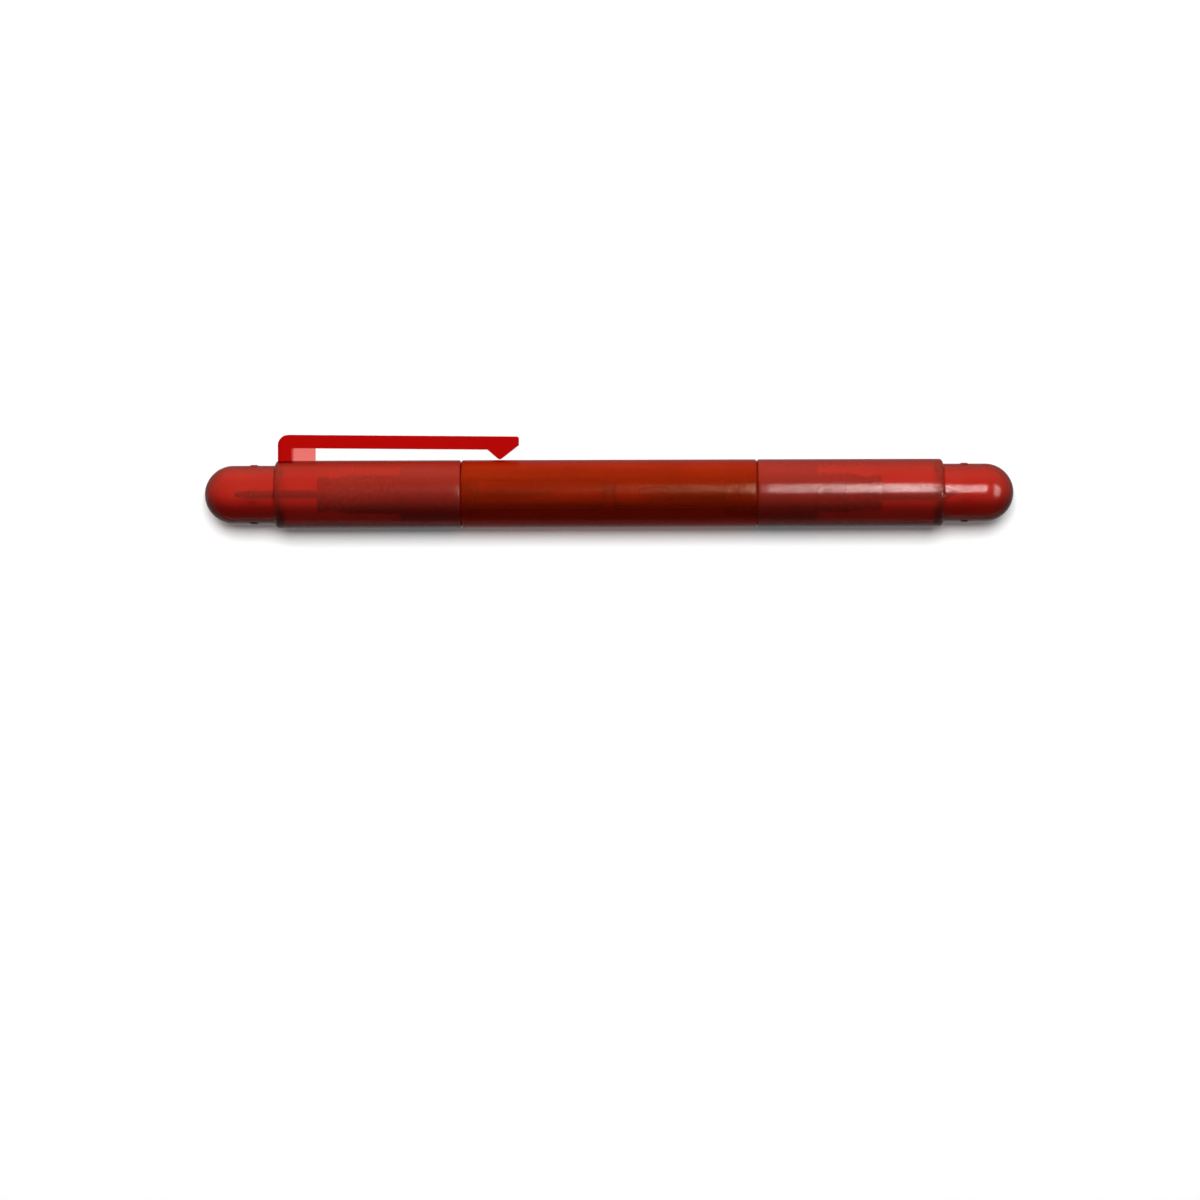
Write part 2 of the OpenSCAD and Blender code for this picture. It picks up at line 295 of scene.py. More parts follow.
@dataclass
class Skin:
    """A closed mesh in the pen's own frame, in millimetres.

    Attributes:
        points: three columns, one row a point.
        faces: lists of point numbers, outwards.
        marks: named values for each point, which a material can read.
    """

    points: Array
    faces: list[list[int]]
    marks: dict[str, Array] = field(default_factory=dict)

    @classmethod
    def from_grid(cls, grid: Array, ends: Ends = Ends.FAN, marks: dict[str, Array] | None = None) -> "Skin":
        """Skin a grid of closed rows and close its two ends.

        Args:
            grid: rows by columns by three.
            ends: how the first and the last row are closed.
            marks: named values, rows by columns.

        Returns:
            The closed skin, with its faces outwards.
        """
        rows, columns = grid.shape[:2]
        numbers = np.arange(rows * columns).reshape(rows, columns)
        after = np.roll(numbers, -1, axis=1)
        ring = ends is Ends.RING
        first, second = (numbers, after) if ring else (numbers[:-1], after[:-1])
        third, fourth = (np.roll(a, -1, axis=0) if ring else a[1:] for a in (after, numbers))
        faces = np.stack((first, second, third, fourth), axis=-1).reshape(-1, 4).tolist()
        points = grid.reshape(-1, 3)
        values = {name: mark.reshape(-1) for name, mark in (marks or {}).items()}
        if ends is Ends.FLAT:
            faces += [numbers[0, ::-1].tolist(), numbers[-1].tolist()]
        if ends is Ends.FAN:
            centres = np.vstack((grid[0].mean(axis=0), grid[-1].mean(axis=0)))
            points = np.vstack((points, centres))
            start, end = rows * columns, rows * columns + 1
            faces += np.stack((after[0], numbers[0], np.full(columns, start)), axis=-1).tolist()
            faces += np.stack((numbers[-1], after[-1], np.full(columns, end)), axis=-1).tolist()
            values = {name: np.append(v, (v[0], v[-1])) for name, v in values.items()}
        return cls(points, faces, values).outwards()

    def outwards(self) -> "Skin":
        """Turn all faces round if the volume that they enclose, summed over triangles, is negative.

        Returns:
            The same skin.
        """
        corners = np.array([face[:3] for face in self.faces])
        more = np.array([[f[0], f[2], f[3]] for f in self.faces if len(f) == 4])
        triangles = np.vstack((corners, more)) if len(more) else corners
        a, b, c = (self.points[triangles[:, i]] for i in range(3))
        if np.einsum("ij,ij->i", a, np.cross(b, c)).sum() < 0.0:
            self.faces = [face[::-1] for face in self.faces]
        return self

    def moved(self, change: Array) -> "Skin":
        """Multiply the points by a matrix of three by three, such as a mirror or a turn."""
        return Skin(self.points @ change.T, self.faces, self.marks).outwards()

    def to_object(self, name: str, place: PenFrame, material: bpy.types.Material) -> bpy.types.Object:
        """Make a Blender object at the origin, with the skin's place in its mesh.

        Args:
            name: the piece's name.
            place: the frame that lays the pen on the table.
            material: the finish.

        Returns:
            The new object, linked to the scene.
        """
        mesh = bpy.data.meshes.new(name)
        mesh.from_pydata(place.lay(self.points), [], self.faces)
        mesh.polygons.foreach_set("use_smooth", np.ones(len(mesh.polygons), bool))
        mesh.set_sharp_from_angle(angle=SMOOTH_ANGLE)
        for mark, values in self.marks.items():
            layer = mesh.attributes.new(mark, "FLOAT", "POINT")
            layer.data.foreach_set("value", values.astype(np.float32))
        mesh.validate()
        mesh.materials.append(material)
        made = bpy.data.objects.new(name, mesh)
        bpy.context.scene.collection.objects.link(made)
        return made


MIRROR = np.diag((-1.0, 1.0, 1.0))


def side_of(skin: Skin, side: Side) -> Skin:
    """Take a skin that was drawn in the right half of the pen to its side."""
    return skin if side is Side.RIGHT else skin.moved(MIRROR)


class NodeSketch:
    """Short calls for laying out the nodes of a material or a node group."""

    def __init__(self, tree: bpy.types.NodeTree) -> None:
        """Keep the tree that the nodes go into."""
        self.tree = tree

    def node(self, kind: str, settings: dict | None = None, **inputs: object) -> bpy.types.Node:
        """Add a node, set its properties, and fill or link its inputs.

        Args:
            kind: the node's Blender type.
            settings: properties of the node itself.
            inputs: values or sockets by input name, with underscores for spaces.

        Returns:
            The new node.
        """
        made = self.tree.nodes.new(kind)
        for key, value in (settings or {}).items():
            setattr(made, key, value)
        for key, value in inputs.items():
            self.fill(made.inputs[key.replace("_", " ")], value)
        return made

    def fill(self, socket: bpy.types.NodeSocket, value: object) -> None:
        """Link a socket to an input, or set the input's own value.

        Args:
            socket: the input.
            value: another node's output, or a plain value.
        """
        if isinstance(value, bpy.types.NodeSocket):
            self.tree.links.new(value, socket)
        else:
            socket.default_value = value

    def math(self, operation: str, first: object, second: object = 0.0) -> bpy.types.NodeSocket:
        """Combine two values by a Math node.

        Args:
            operation: the node's operation.
            first: first value or socket.
            second: second value or socket.

        Returns:
            The node's output.
        """
        made = self.tree.nodes.new("ShaderNodeMath")
        made.operation = operation
        self.fill(made.inputs[0], first)
        self.fill(made.inputs[1], second)
        return made.outputs[0]

    def ramp(self, value: object, low: float, high: float, to_low: float = 0.0, to_high: float = 1.0
             ) -> bpy.types.NodeSocket:
        """Map a value smoothly from one range to another.

        Args:
            value: the value or socket.
            low: start of its range.
            high: end of its range.
            to_low: result at the start.
            to_high: result at the end.

        Returns:
            The node's output.
        """
        made = self.node("ShaderNodeMapRange", {"interpolation_type": "SMOOTHSTEP"}, Value=value,
                         From_Min=low, From_Max=high, To_Min=to_low, To_Max=to_high)
        return made.outputs["Result"]

    def blend(self, share: object, first: object, second: object) -> bpy.types.NodeSocket:
        """Mix two colours.

        Args:
            share: share of the second colour, as a value or socket.
            first: first colour or socket.
            second: second colour or socket.

        Returns:
            The node's output.
        """
        made = self.tree.nodes.new("ShaderNodeMix")
        made.data_type = "RGBA"
        self.fill(made.inputs["Factor"], share)
        self.fill(made.inputs["A"], first)
        self.fill(made.inputs["B"], second)
        return made.outputs["Result"]


def grey(level: float) -> tuple[float, float, float, float]:
    """A neutral colour of one level."""
    return level, level, level, 1.0


def new_group(name: str, inputs: dict[str, str], outputs: dict[str, str]
              ) -> tuple[NodeSketch, bpy.types.Node, bpy.types.Node]:
    """Make a shader node group with named sockets.

    Args:
        name: the group's name.
        inputs: socket types by input name.
        outputs: socket types by output name.

    Returns:
        A sketch of the group's tree, its input node and its output node.
    """
    tree = bpy.data.node_groups.new(name, "ShaderNodeTree")
    for label, kind in inputs.items():
        tree.interface.new_socket(label, in_out="INPUT", socket_type=kind)
    for label, kind in outputs.items():
        tree.interface.new_socket(label, in_out="OUTPUT", socket_type=kind)
    sketch = NodeSketch(tree)
    return sketch, sketch.node("NodeGroupInput"), sketch.node("NodeGroupOutput")


class SurfaceEffects:
    """The effects that several finishes share, each built once as a node group."""

    VALUE = "NodeSocketFloat"
    VECTOR = "NodeSocketVector"

    def __init__(self) -> None:
        """Build the groups."""
        self.grain = self._moulded_grain()
        self.flow = self._flow_streaks()
        self.marks = self._handling_marks()

    def _moulded_grain(self) -> bpy.types.NodeTree:
        """Fine pebble grain of a spark-eroded mould: cells and noise added, as height and as sparkle.

        Returns:
            The group's tree.
        """
        sketch, given, result = new_group(
            "moulded_grain", {"Vector": self.VECTOR, "Pitch": self.VALUE},
            {"Height": self.VALUE, "Sparkle": self.VALUE})
        scale = sketch.math("DIVIDE", 1.0, given.outputs["Pitch"])
        pebble = sketch.node("ShaderNodeTexVoronoi", {"feature": "SMOOTH_F1"},
                             Vector=given.outputs["Vector"], Scale=scale)
        haze = sketch.node("ShaderNodeTexNoise", Vector=given.outputs["Vector"],
                           Scale=sketch.math("MULTIPLY", scale, 0.35), Detail=3.0)
        height = sketch.math("ADD", pebble.outputs["Distance"],
                             sketch.math("MULTIPLY", haze.outputs["Fac"], 0.8))
        sketch.fill(result.inputs["Height"], height)
        sketch.fill(result.inputs["Sparkle"], sketch.ramp(haze.outputs["Fac"], 0.45, 0.7))
        return sketch.tree

    def _flow_streaks(self) -> bpy.types.NodeTree:
        """Long pale and dark streaks that the melt leaves along a moulding: noise stretched along X.

        Returns:
            The group's tree.
        """
        sketch, given, result = new_group(
            "flow_streaks", {"Vector": self.VECTOR, "Width": self.VALUE}, {"Tone": self.VALUE})
        stretched = sketch.node("ShaderNodeVectorMath", {"operation": "MULTIPLY"})
        sketch.fill(stretched.inputs[0], given.outputs["Vector"])
        stretched.inputs[1].default_value = (0.06, 1.0, 1.0)
        streak = sketch.node("ShaderNodeTexNoise", Vector=stretched.outputs["Vector"],
                             Scale=sketch.math("DIVIDE", 1.0, given.outputs["Width"]),
                             Detail=4.0, Roughness=0.55)
        cloud = sketch.node("ShaderNodeTexNoise", Vector=given.outputs["Vector"], Scale=120.0, Detail=2.0)
        tone = sketch.math("ADD", sketch.math("MULTIPLY", streak.outputs["Fac"], 0.65),
                           sketch.math("MULTIPLY", cloud.outputs["Fac"], 0.35))
        sketch.fill(result.inputs["Tone"], sketch.ramp(tone, 0.32, 0.68))
        return sketch.tree

    def _handling_marks(self) -> bpy.types.NodeTree:
        """Hairline scratches from a pocket: thin level lines of two stretched noises, as a mask.

        Returns:
            The group's tree.
        """
        sketch, given, result = new_group(
            "handling_marks", {"Vector": self.VECTOR, "Amount": self.VALUE}, {"Mask": self.VALUE})
        masks = []
        for turn, stretch in ((0.12, (0.02, 1.0, 1.0)), (-0.3, (0.03, 1.0, 1.0))):
            turned = sketch.node("ShaderNodeMapping", Vector=given.outputs["Vector"],
                                 Rotation=(turn, 0.3 * turn, turn), Scale=stretch)
            noise = sketch.node("ShaderNodeTexNoise", Vector=turned.outputs["Vector"], Scale=420.0,
                                Detail=1.0)
            level = sketch.math("ABSOLUTE", sketch.math("SUBTRACT", noise.outputs["Fac"], 0.5))
            masks.append(sketch.ramp(level, 0.0, 0.006, 1.0, 0.0))
        patch = sketch.node("ShaderNodeTexNoise", Vector=given.outputs["Vector"], Scale=160.0, Detail=2.0)
        share = sketch.math("MULTIPLY", sketch.math("MAXIMUM", masks[0], masks[1]),
                            sketch.ramp(patch.outputs["Fac"], 0.5, 0.72))
        sketch.fill(result.inputs["Mask"], sketch.math("MULTIPLY", share, given.outputs["Amount"]))
        return sketch.tree


@dataclass(frozen=True)
class TranslucentPlastic:
    """A clear, tinted moulding.

    Attributes:
        name: the material's name.
        tint: colour of the plastic where the melt is thin.
        deep: colour along the dense streaks.
        see_through: share of light that passes, as against what the plastic scatters back.
        roughness: how far the surface blurs.
        gloss: colour of its reflections.
        absorb: colour that a thick wall keeps.
        density: how fast a thick wall takes the rest, a metre.
        grain_pitch: size of the mould's grain in metres.
        grain_depth: height of the grain in metres.
        lamp_tint: what is left of a lamp's light behind one wall.
        painted_shade_mark: a mark of the piece where the colour is darkened as painted shade, such as its
            knurl, or an empty name.
        shine: weight of the polished skin.
        painted_rim_shade: how far the colour darkens where the wall is seen edge on, a painted shade along
            the silhouettes.
    """

    name: str
    tint: tuple[float, float, float]
    deep: tuple[float, float, float]
    see_through: float
    roughness: float
    gloss: tuple[float, float, float]
    absorb: tuple[float, float, float]
    density: float
    grain_pitch: float
    grain_depth: float
    lamp_tint: tuple[float, float, float]
    painted_shade_mark: str = ""
    shine: float = 0.1
    painted_rim_shade: float = 0.0

    def material(self, effects: SurfaceEffects) -> bpy.types.Material:
        """Build the material: tinted glass over scattering plastic, with grain, streaks and scratches,
        painted shade along the silhouettes, and painted shade over a marked area such as the knurl.

        Args:
            effects: the shared node groups.

        Returns:
            The material.
        """
        made = bpy.data.materials.new(self.name)
        made.use_nodes = True
        made.node_tree.nodes.clear()
        sketch = NodeSketch(made.node_tree)
        places = sketch.node("ShaderNodeTexCoord").outputs["Object"]
        grain = sketch.node("ShaderNodeGroup", {"node_tree": effects.grain}, Vector=places,
                            Pitch=self.grain_pitch)
        flow = sketch.node("ShaderNodeGroup", {"node_tree": effects.flow}, Vector=places, Width=STREAK_WIDTH)
        marks = sketch.node("ShaderNodeGroup", {"node_tree": effects.marks}, Vector=places, Amount=1.0)
        colour = sketch.blend(flow.outputs["Tone"], (*self.deep, 1.0), (*self.tint, 1.0))
        rough = sketch.math("ADD", sketch.math("MULTIPLY", grain.outputs["Sparkle"], 0.06), self.roughness)
        rough = sketch.math("ADD", rough, sketch.math("MULTIPLY", marks.outputs["Mask"], 0.08))
        # Painted shade: the marked area, such as the knurl, darkens towards 0.35 of the deep colour.
        if self.painted_shade_mark:
            mark = sketch.node("ShaderNodeAttribute", {"attribute_name": self.painted_shade_mark}).outputs["Fac"]
            colour = sketch.blend(mark, colour, (*(c * 0.35 for c in self.deep), 1.0))
            rough = sketch.math("ADD", rough, sketch.math("MULTIPLY", mark, 0.15))
        # Painted shade: where the surface is seen edge on, the colour darkens towards the deep colour's dark
        # share.
        edge = sketch.node("ShaderNodeLayerWeight", Blend=0.5).outputs["Facing"]
        painted_rim_shade = tuple(c * share for c, share in zip(self.deep, PAINTED_RIM_SHADE_SHARE))
        colour = sketch.blend(sketch.ramp(edge, 0.35, 0.8, 0.0, self.painted_rim_shade), colour, (*painted_rim_shade, 1.0))
        bump = sketch.node("ShaderNodeBump", Strength=0.6, Distance=self.grain_depth,
                           Height=grain.outputs["Height"])
        shine = sketch.ramp(grain.outputs["Sparkle"], 0.0, 1.0, self.shine * 0.7, self.shine * 1.5)
        plastic = sketch.node("ShaderNodeBsdfPrincipled", Base_Color=colour, Roughness=rough,
                              Normal=bump.outputs["Normal"], IOR=PLASTIC_IOR,
                              Transmission_Weight=self.see_through, Specular_Tint=(*self.gloss, 1.0),
                              Coat_Weight=shine, Coat_Roughness=COAT_ROUGHNESS)
        lamp_way = sketch.node("ShaderNodeBsdfTransparent", Color=(*self.lamp_tint, 1.0))
        ray = sketch.node("ShaderNodeLightPath")
        mix = sketch.node("ShaderNodeMixShader", Fac=ray.outputs["Is Shadow Ray"])
        sketch.fill(mix.inputs[1], plastic.outputs["BSDF"])
        sketch.fill(mix.inputs[2], lamp_way.outputs["BSDF"])
        depth = sketch.node("ShaderNodeVolumeAbsorption", Color=(*self.absorb, 1.0), Density=self.density)
        sketch.node("ShaderNodeOutputMaterial", Surface=mix.outputs["Shader"], Volume=depth.outputs["Volume"])
        return made


@dataclass(frozen=True)
class NickelSteel:
    """Nickel-plated steel with ground tips.

    Attributes:
        name: the material's name.
        plate: colour of the plating.
        ground: colour of the bare ground faces.
        roughness: blur of the plating.
        ground_roughness: blur of the ground faces.
        mark: the piece's mark of where it was ground.
    """

    name: str
    plate: tuple[float, float, float]
    ground: tuple[float, float, float]
    roughness: float
    ground_roughness: float
    mark: str

    def material(self, effects: SurfaceEffects) -> bpy.types.Material:
        """Build the material: metal with drawing lines along the rod and matte ground faces.

        Args:
            effects: the shared node groups.

        Returns:
            The material.
        """
        made = bpy.data.materials.new(self.name)
        made.use_nodes = True
        made.node_tree.nodes.clear()
        sketch = NodeSketch(made.node_tree)
        places = sketch.node("ShaderNodeTexCoord").outputs["Object"]
        drawn = sketch.node("ShaderNodeGroup", {"node_tree": effects.flow}, Vector=places, Width=0.0003)
        marks = sketch.node("ShaderNodeGroup", {"node_tree": effects.marks}, Vector=places, Amount=0.7)
        ground = sketch.node("ShaderNodeAttribute", {"attribute_name": self.mark}).outputs["Fac"]
        wheel = sketch.node("ShaderNodeTexNoise", Scale=2600.0, Detail=2.0,
                            Vector=sketch.node("ShaderNodeMapping", Vector=places, Scale=(1.0, 0.1, 0.1)
                                               ).outputs["Vector"])
        colour = sketch.blend(ground, (*self.plate, 1.0), (*self.ground, 1.0))
        colour = sketch.blend(sketch.math("MULTIPLY", drawn.outputs["Tone"], 0.25), colour,
                              (*(c * 0.72 for c in self.plate), 1.0))
        rough = sketch.math("ADD", sketch.math("MULTIPLY", ground, self.ground_roughness - self.roughness),
                            self.roughness)
        rough = sketch.math("ADD", rough, sketch.math("MULTIPLY", drawn.outputs["Tone"], 0.07))
        rough = sketch.math("ADD", rough, sketch.math("MULTIPLY", marks.outputs["Mask"], 0.2))
        height = sketch.math("ADD", sketch.math("MULTIPLY", drawn.outputs["Tone"], 0.3),
                             sketch.math("MULTIPLY", wheel.outputs["Fac"], ground))
        bump = sketch.node("ShaderNodeBump", Strength=0.35, Distance=0.00002, Height=height)
        metal = sketch.node("ShaderNodeBsdfPrincipled", Base_Color=colour, Metallic=1.0, Roughness=rough,
                            Normal=bump.outputs["Normal"])
        sketch.node("ShaderNodeOutputMaterial", Surface=metal.outputs["BSDF"])
        return made


BARREL_PLASTIC = TranslucentPlastic(
    "barrel_red", tint=(0.7, 0.05, 0.006), deep=(0.56, 0.04, 0.004), see_through=0.85, roughness=0.14,
    gloss=(1.0, 0.45, 0.2), absorb=(0.6, 0.16, 0.0), density=560.0, grain_pitch=0.00024,
    grain_depth=0.00004, lamp_tint=(0.36, 0.36, 0.35), shine=0.02, painted_rim_shade=0.9)
CAP_PLASTIC = TranslucentPlastic(
    "cap_red", tint=(0.9, 0.085, 0.05), deep=(0.82, 0.065, 0.035), see_through=0.86, roughness=0.12,
    gloss=(1.0, 0.8, 0.76), absorb=(0.24, 0.08, 0.05), density=950.0, grain_pitch=0.00024,
    grain_depth=0.00004, lamp_tint=(0.36, 0.36, 0.36), painted_rim_shade=0.9)
CLIP_PLASTIC = TranslucentPlastic(
    "clip_red", tint=(0.97, 0.5, 0.46), deep=(0.94, 0.44, 0.4), see_through=1.0, roughness=0.14,
    gloss=(1.0, 0.3, 0.25), absorb=(0.87, 0.05, 0.03), density=1250.0, grain_pitch=0.0003,
    grain_depth=0.00001, lamp_tint=(0.6, 0.5, 0.48))
HANDLE_PLASTIC = TranslucentPlastic(
    "handle_red", tint=(0.27, 0.012, 0.014), deep=(0.21, 0.008, 0.009), see_through=0.25, roughness=0.26,
    gloss=(1.0, 0.6, 0.55), absorb=(0.78, 0.08, 0.05), density=500.0, grain_pitch=0.0003,
    grain_depth=0.00002, lamp_tint=(0.36, 0.34, 0.34), painted_shade_mark="knurl")
ROD_STEEL = NickelSteel("nickel_plate", plate=(0.72, 0.69, 0.63), ground=(0.8, 0.79, 0.76), roughness=0.16,
                        ground_roughness=0.42, mark="ground")


@dataclass
class Barrel:
    """The barrel: two necks with hexagonal sockets, a bore behind each, and a wall in the middle.

    Attributes:
        place: the frame of the pen.
        neck_r: radius of the necks.
        neck_len: length of the necks.
        socket_af: width of the sockets across their flats.
        socket_lead: bevel at a socket's mouth.
        seat_clearance: room between a handle's end and the floor of its socket.
        bore_r: radius of the bores behind the sockets.
        bore_end_r: rounding of their blind ends.
        divider_t: thickness of the wall in the middle.
        edge_r: rounding of the barrel's outer edges.
        neck_edge_r: rounding of the necks' outer ends.
    """

    place: PenFrame
    neck_r: float = 4.995
    neck_len: float = 10.5
    socket_af: float = 6.4
    socket_lead: float = 0.2
    seat_clearance: float = 0.1
    bore_r: float = 2.4
    bore_end_r: float = 1.0
    divider_t: float = 1.5
    edge_r: float = 0.4
    neck_edge_r: float = 0.3

    def half(self, seat: float, end: float) -> tuple[Array, Array]:
        """Outline of one half from the middle wall, out along the bore and socket, back over the outside.

        Args:
            seat: distance from the middle to the socket's floor.
            end: distance from the middle to the neck's end.

        Returns:
            The outline, and for each of its points how hexagonal its section is, from 0 to 1.
        """
        body_end = end - self.neck_len
        body_r = self.place.body_r
        socket_r = self.socket_af / 2.0
        wall = self.divider_t / 2
        round_r = self.bore_r - self.bore_end_r
        bore = join(
            line(wall, 0.05, wall, round_r, 0.4),
            arc(wall + self.bore_end_r, round_r, self.bore_end_r, 180, 90),
            line(wall + self.bore_end_r, self.bore_r, seat, self.bore_r))
        socket = join(
            line(seat, socket_r, end - self.socket_lead, socket_r),
            line(end - self.socket_lead, socket_r, end, socket_r + self.socket_lead, 0.1))
        outside = join(
            arc(end - self.neck_edge_r, self.neck_r - self.neck_edge_r, self.neck_edge_r, 0, 90),
            line(end - self.neck_edge_r, self.neck_r, body_end, self.neck_r),
            line(body_end, self.neck_r, body_end, body_r - self.edge_r, 0.2),
            arc(body_end - self.edge_r, body_r - self.edge_r, self.edge_r, 0, 90),
            line(body_end - self.edge_r, body_r, 0.0, body_r))
        outline = np.vstack((bore, socket, outside))
        six_sided = np.zeros(len(outline))
        six_sided[len(bore):len(bore) + len(socket)] = 1.0
        return outline, six_sided

    def build(self, material: bpy.types.Material) -> bpy.types.Object:
        """Skin both halves as one closed surface.

        Args:
            material: the barrel's finish.

        Returns:
            The barrel.
        """
        end = reach("barrel")[1]
        angles = turns()
        right, right_six = self.half(span("large_bit_handle")[0] - self.seat_clearance, end)
        left, left_six = self.half(span("small_bit_handle")[0] - self.seat_clearance, end)
        outline = np.vstack((left * (-1.0, 1.0), right[::-1][1:]))
        six_sided = np.concatenate((left_six, right_six[::-1][1:]))[:, None]
        flat = outline[:, 1:]
        corners = flat * hexagon(angles, 2.0)[None, :]
        radii = six_sided * corners + (1.0 - six_sided) * flat
        skin = Skin.from_grid(around(outline[:, 0], radii, angles))
        return skin.to_object("barrel_shell", self.place, material)


@dataclass
class Cap:
    """A push-on cap: a thin sleeve, a narrower domed end, and four low grip pads on the dome.

    Attributes:
        place: the frame of the pen.
        node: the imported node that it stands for.
        side: the half of the pen that it closes.
        bore_r: radius of the sleeve's bore.
        dome_r: radius of the domed end.
        dome_wall: wall of the domed end.
        dome_len: length of the domed end.
        edge_r: rounding of the mouth.
        shoulder_r: rounding of the shoulder between sleeve and dome.
        inner_fillet: rounding of the corner where the dome meets the shoulder.
        mouth_bevel: bevel inside the mouth.
        pad_len: length of the pads along the pen.
        pad_w: width of the pads around it.
        pad_h: height of the pads.
        pad_at: distance from the shoulder to the middle of the pads.
        pad_edge: width of their eased edges.
    """

    place: PenFrame
    node: str
    side: Side
    bore_r: float = 5.045
    dome_r: float = 4.995
    dome_wall: float = 0.8
    dome_len: float = 12.3
    edge_r: float = 0.4
    shoulder_r: float = 0.65
    inner_fillet: float = 0.2
    mouth_bevel: float = 0.3
    pad_len: float = 1.25
    pad_w: float = 2.6
    pad_h: float = 0.15
    pad_at: float = 3.75
    pad_edge: float = 0.06

    def outline(self) -> Array:
        """Outline from the inside of the dome, out over the mouth and back to the dome's tip.

        Returns:
            Rows of place along the pen and distance from the axis.
        """
        mouth, tip = span(self.node)
        shoulder = tip - self.dome_len
        centre = tip - self.dome_r
        inner_r = self.dome_r - self.dome_wall
        body_r = self.place.body_r
        taper = shoulder - self.dome_wall
        fillet = self.inner_fillet
        inside = join(
            arc(centre, 0.0, inner_r, 0.5, 90, 24),
            line(centre, inner_r, taper, inner_r),
            line(taper, inner_r, taper - self.dome_wall, self.bore_r, 0.3),
            line(taper - self.dome_wall, self.bore_r, mouth + self.mouth_bevel, self.bore_r),
            line(mouth + self.mouth_bevel, self.bore_r, mouth, self.bore_r + self.mouth_bevel, 0.1))
        sleeve = join(
            arc(mouth + self.edge_r, body_r - self.edge_r, self.edge_r, 180, 90),
            line(mouth + self.edge_r, body_r, shoulder - self.shoulder_r, body_r),
            arc(shoulder - self.shoulder_r, body_r - self.shoulder_r, self.shoulder_r, 90, 0),
            arc(shoulder + fillet, self.dome_r + fillet, fillet, 180, 270, 5))
        dome = join(
            line(shoulder + fillet, self.dome_r, centre, self.dome_r, self.pad_edge),
            arc(centre, 0.0, self.dome_r, 90, 0.5, 28))
        return join(inside, sleeve, dome)

    def pads(self, outline: Array, angles: Array) -> Array:
        """Height of the grip pads: an eased box along the pen times an eased box around it.

        Args:
            outline: the cap's outline.
            angles: the angles of its columns.

        Returns:
            What the pads add to the radius, rows by columns.
        """
        middle = span(self.node)[1] - self.dome_len + self.pad_at
        along = np.abs(outline[:, 0] - middle)
        outside = outline[:, 1] > self.dome_r - self.pad_edge
        quarter = np.pi / 2.0
        turned = np.abs((angles + quarter / 2.0) % quarter - quarter / 2.0) * self.dome_r
        length = 1.0 - smooth(self.pad_len / 2 - self.pad_edge, self.pad_len / 2, along)
        width = 1.0 - smooth(self.pad_w / 2 - self.pad_edge, self.pad_w / 2, turned)
        return self.pad_h * (length * outside)[:, None] * width[None, :]

    def build(self, name: str, material: bpy.types.Material) -> bpy.types.Object:
        """Skin the cap as one closed shell.

        Args:
            name: the piece's name.
            material: the cap's finish.

        Returns:
            The cap.
        """
        angles = turns()
        outline = self.outline()
        radii = outline[:, 1:] + self.pads(outline, angles)
        skin = Skin.from_grid(around(outline[:, 0], radii, angles))
        return side_of(skin, self.side).to_object(name, self.place, material)


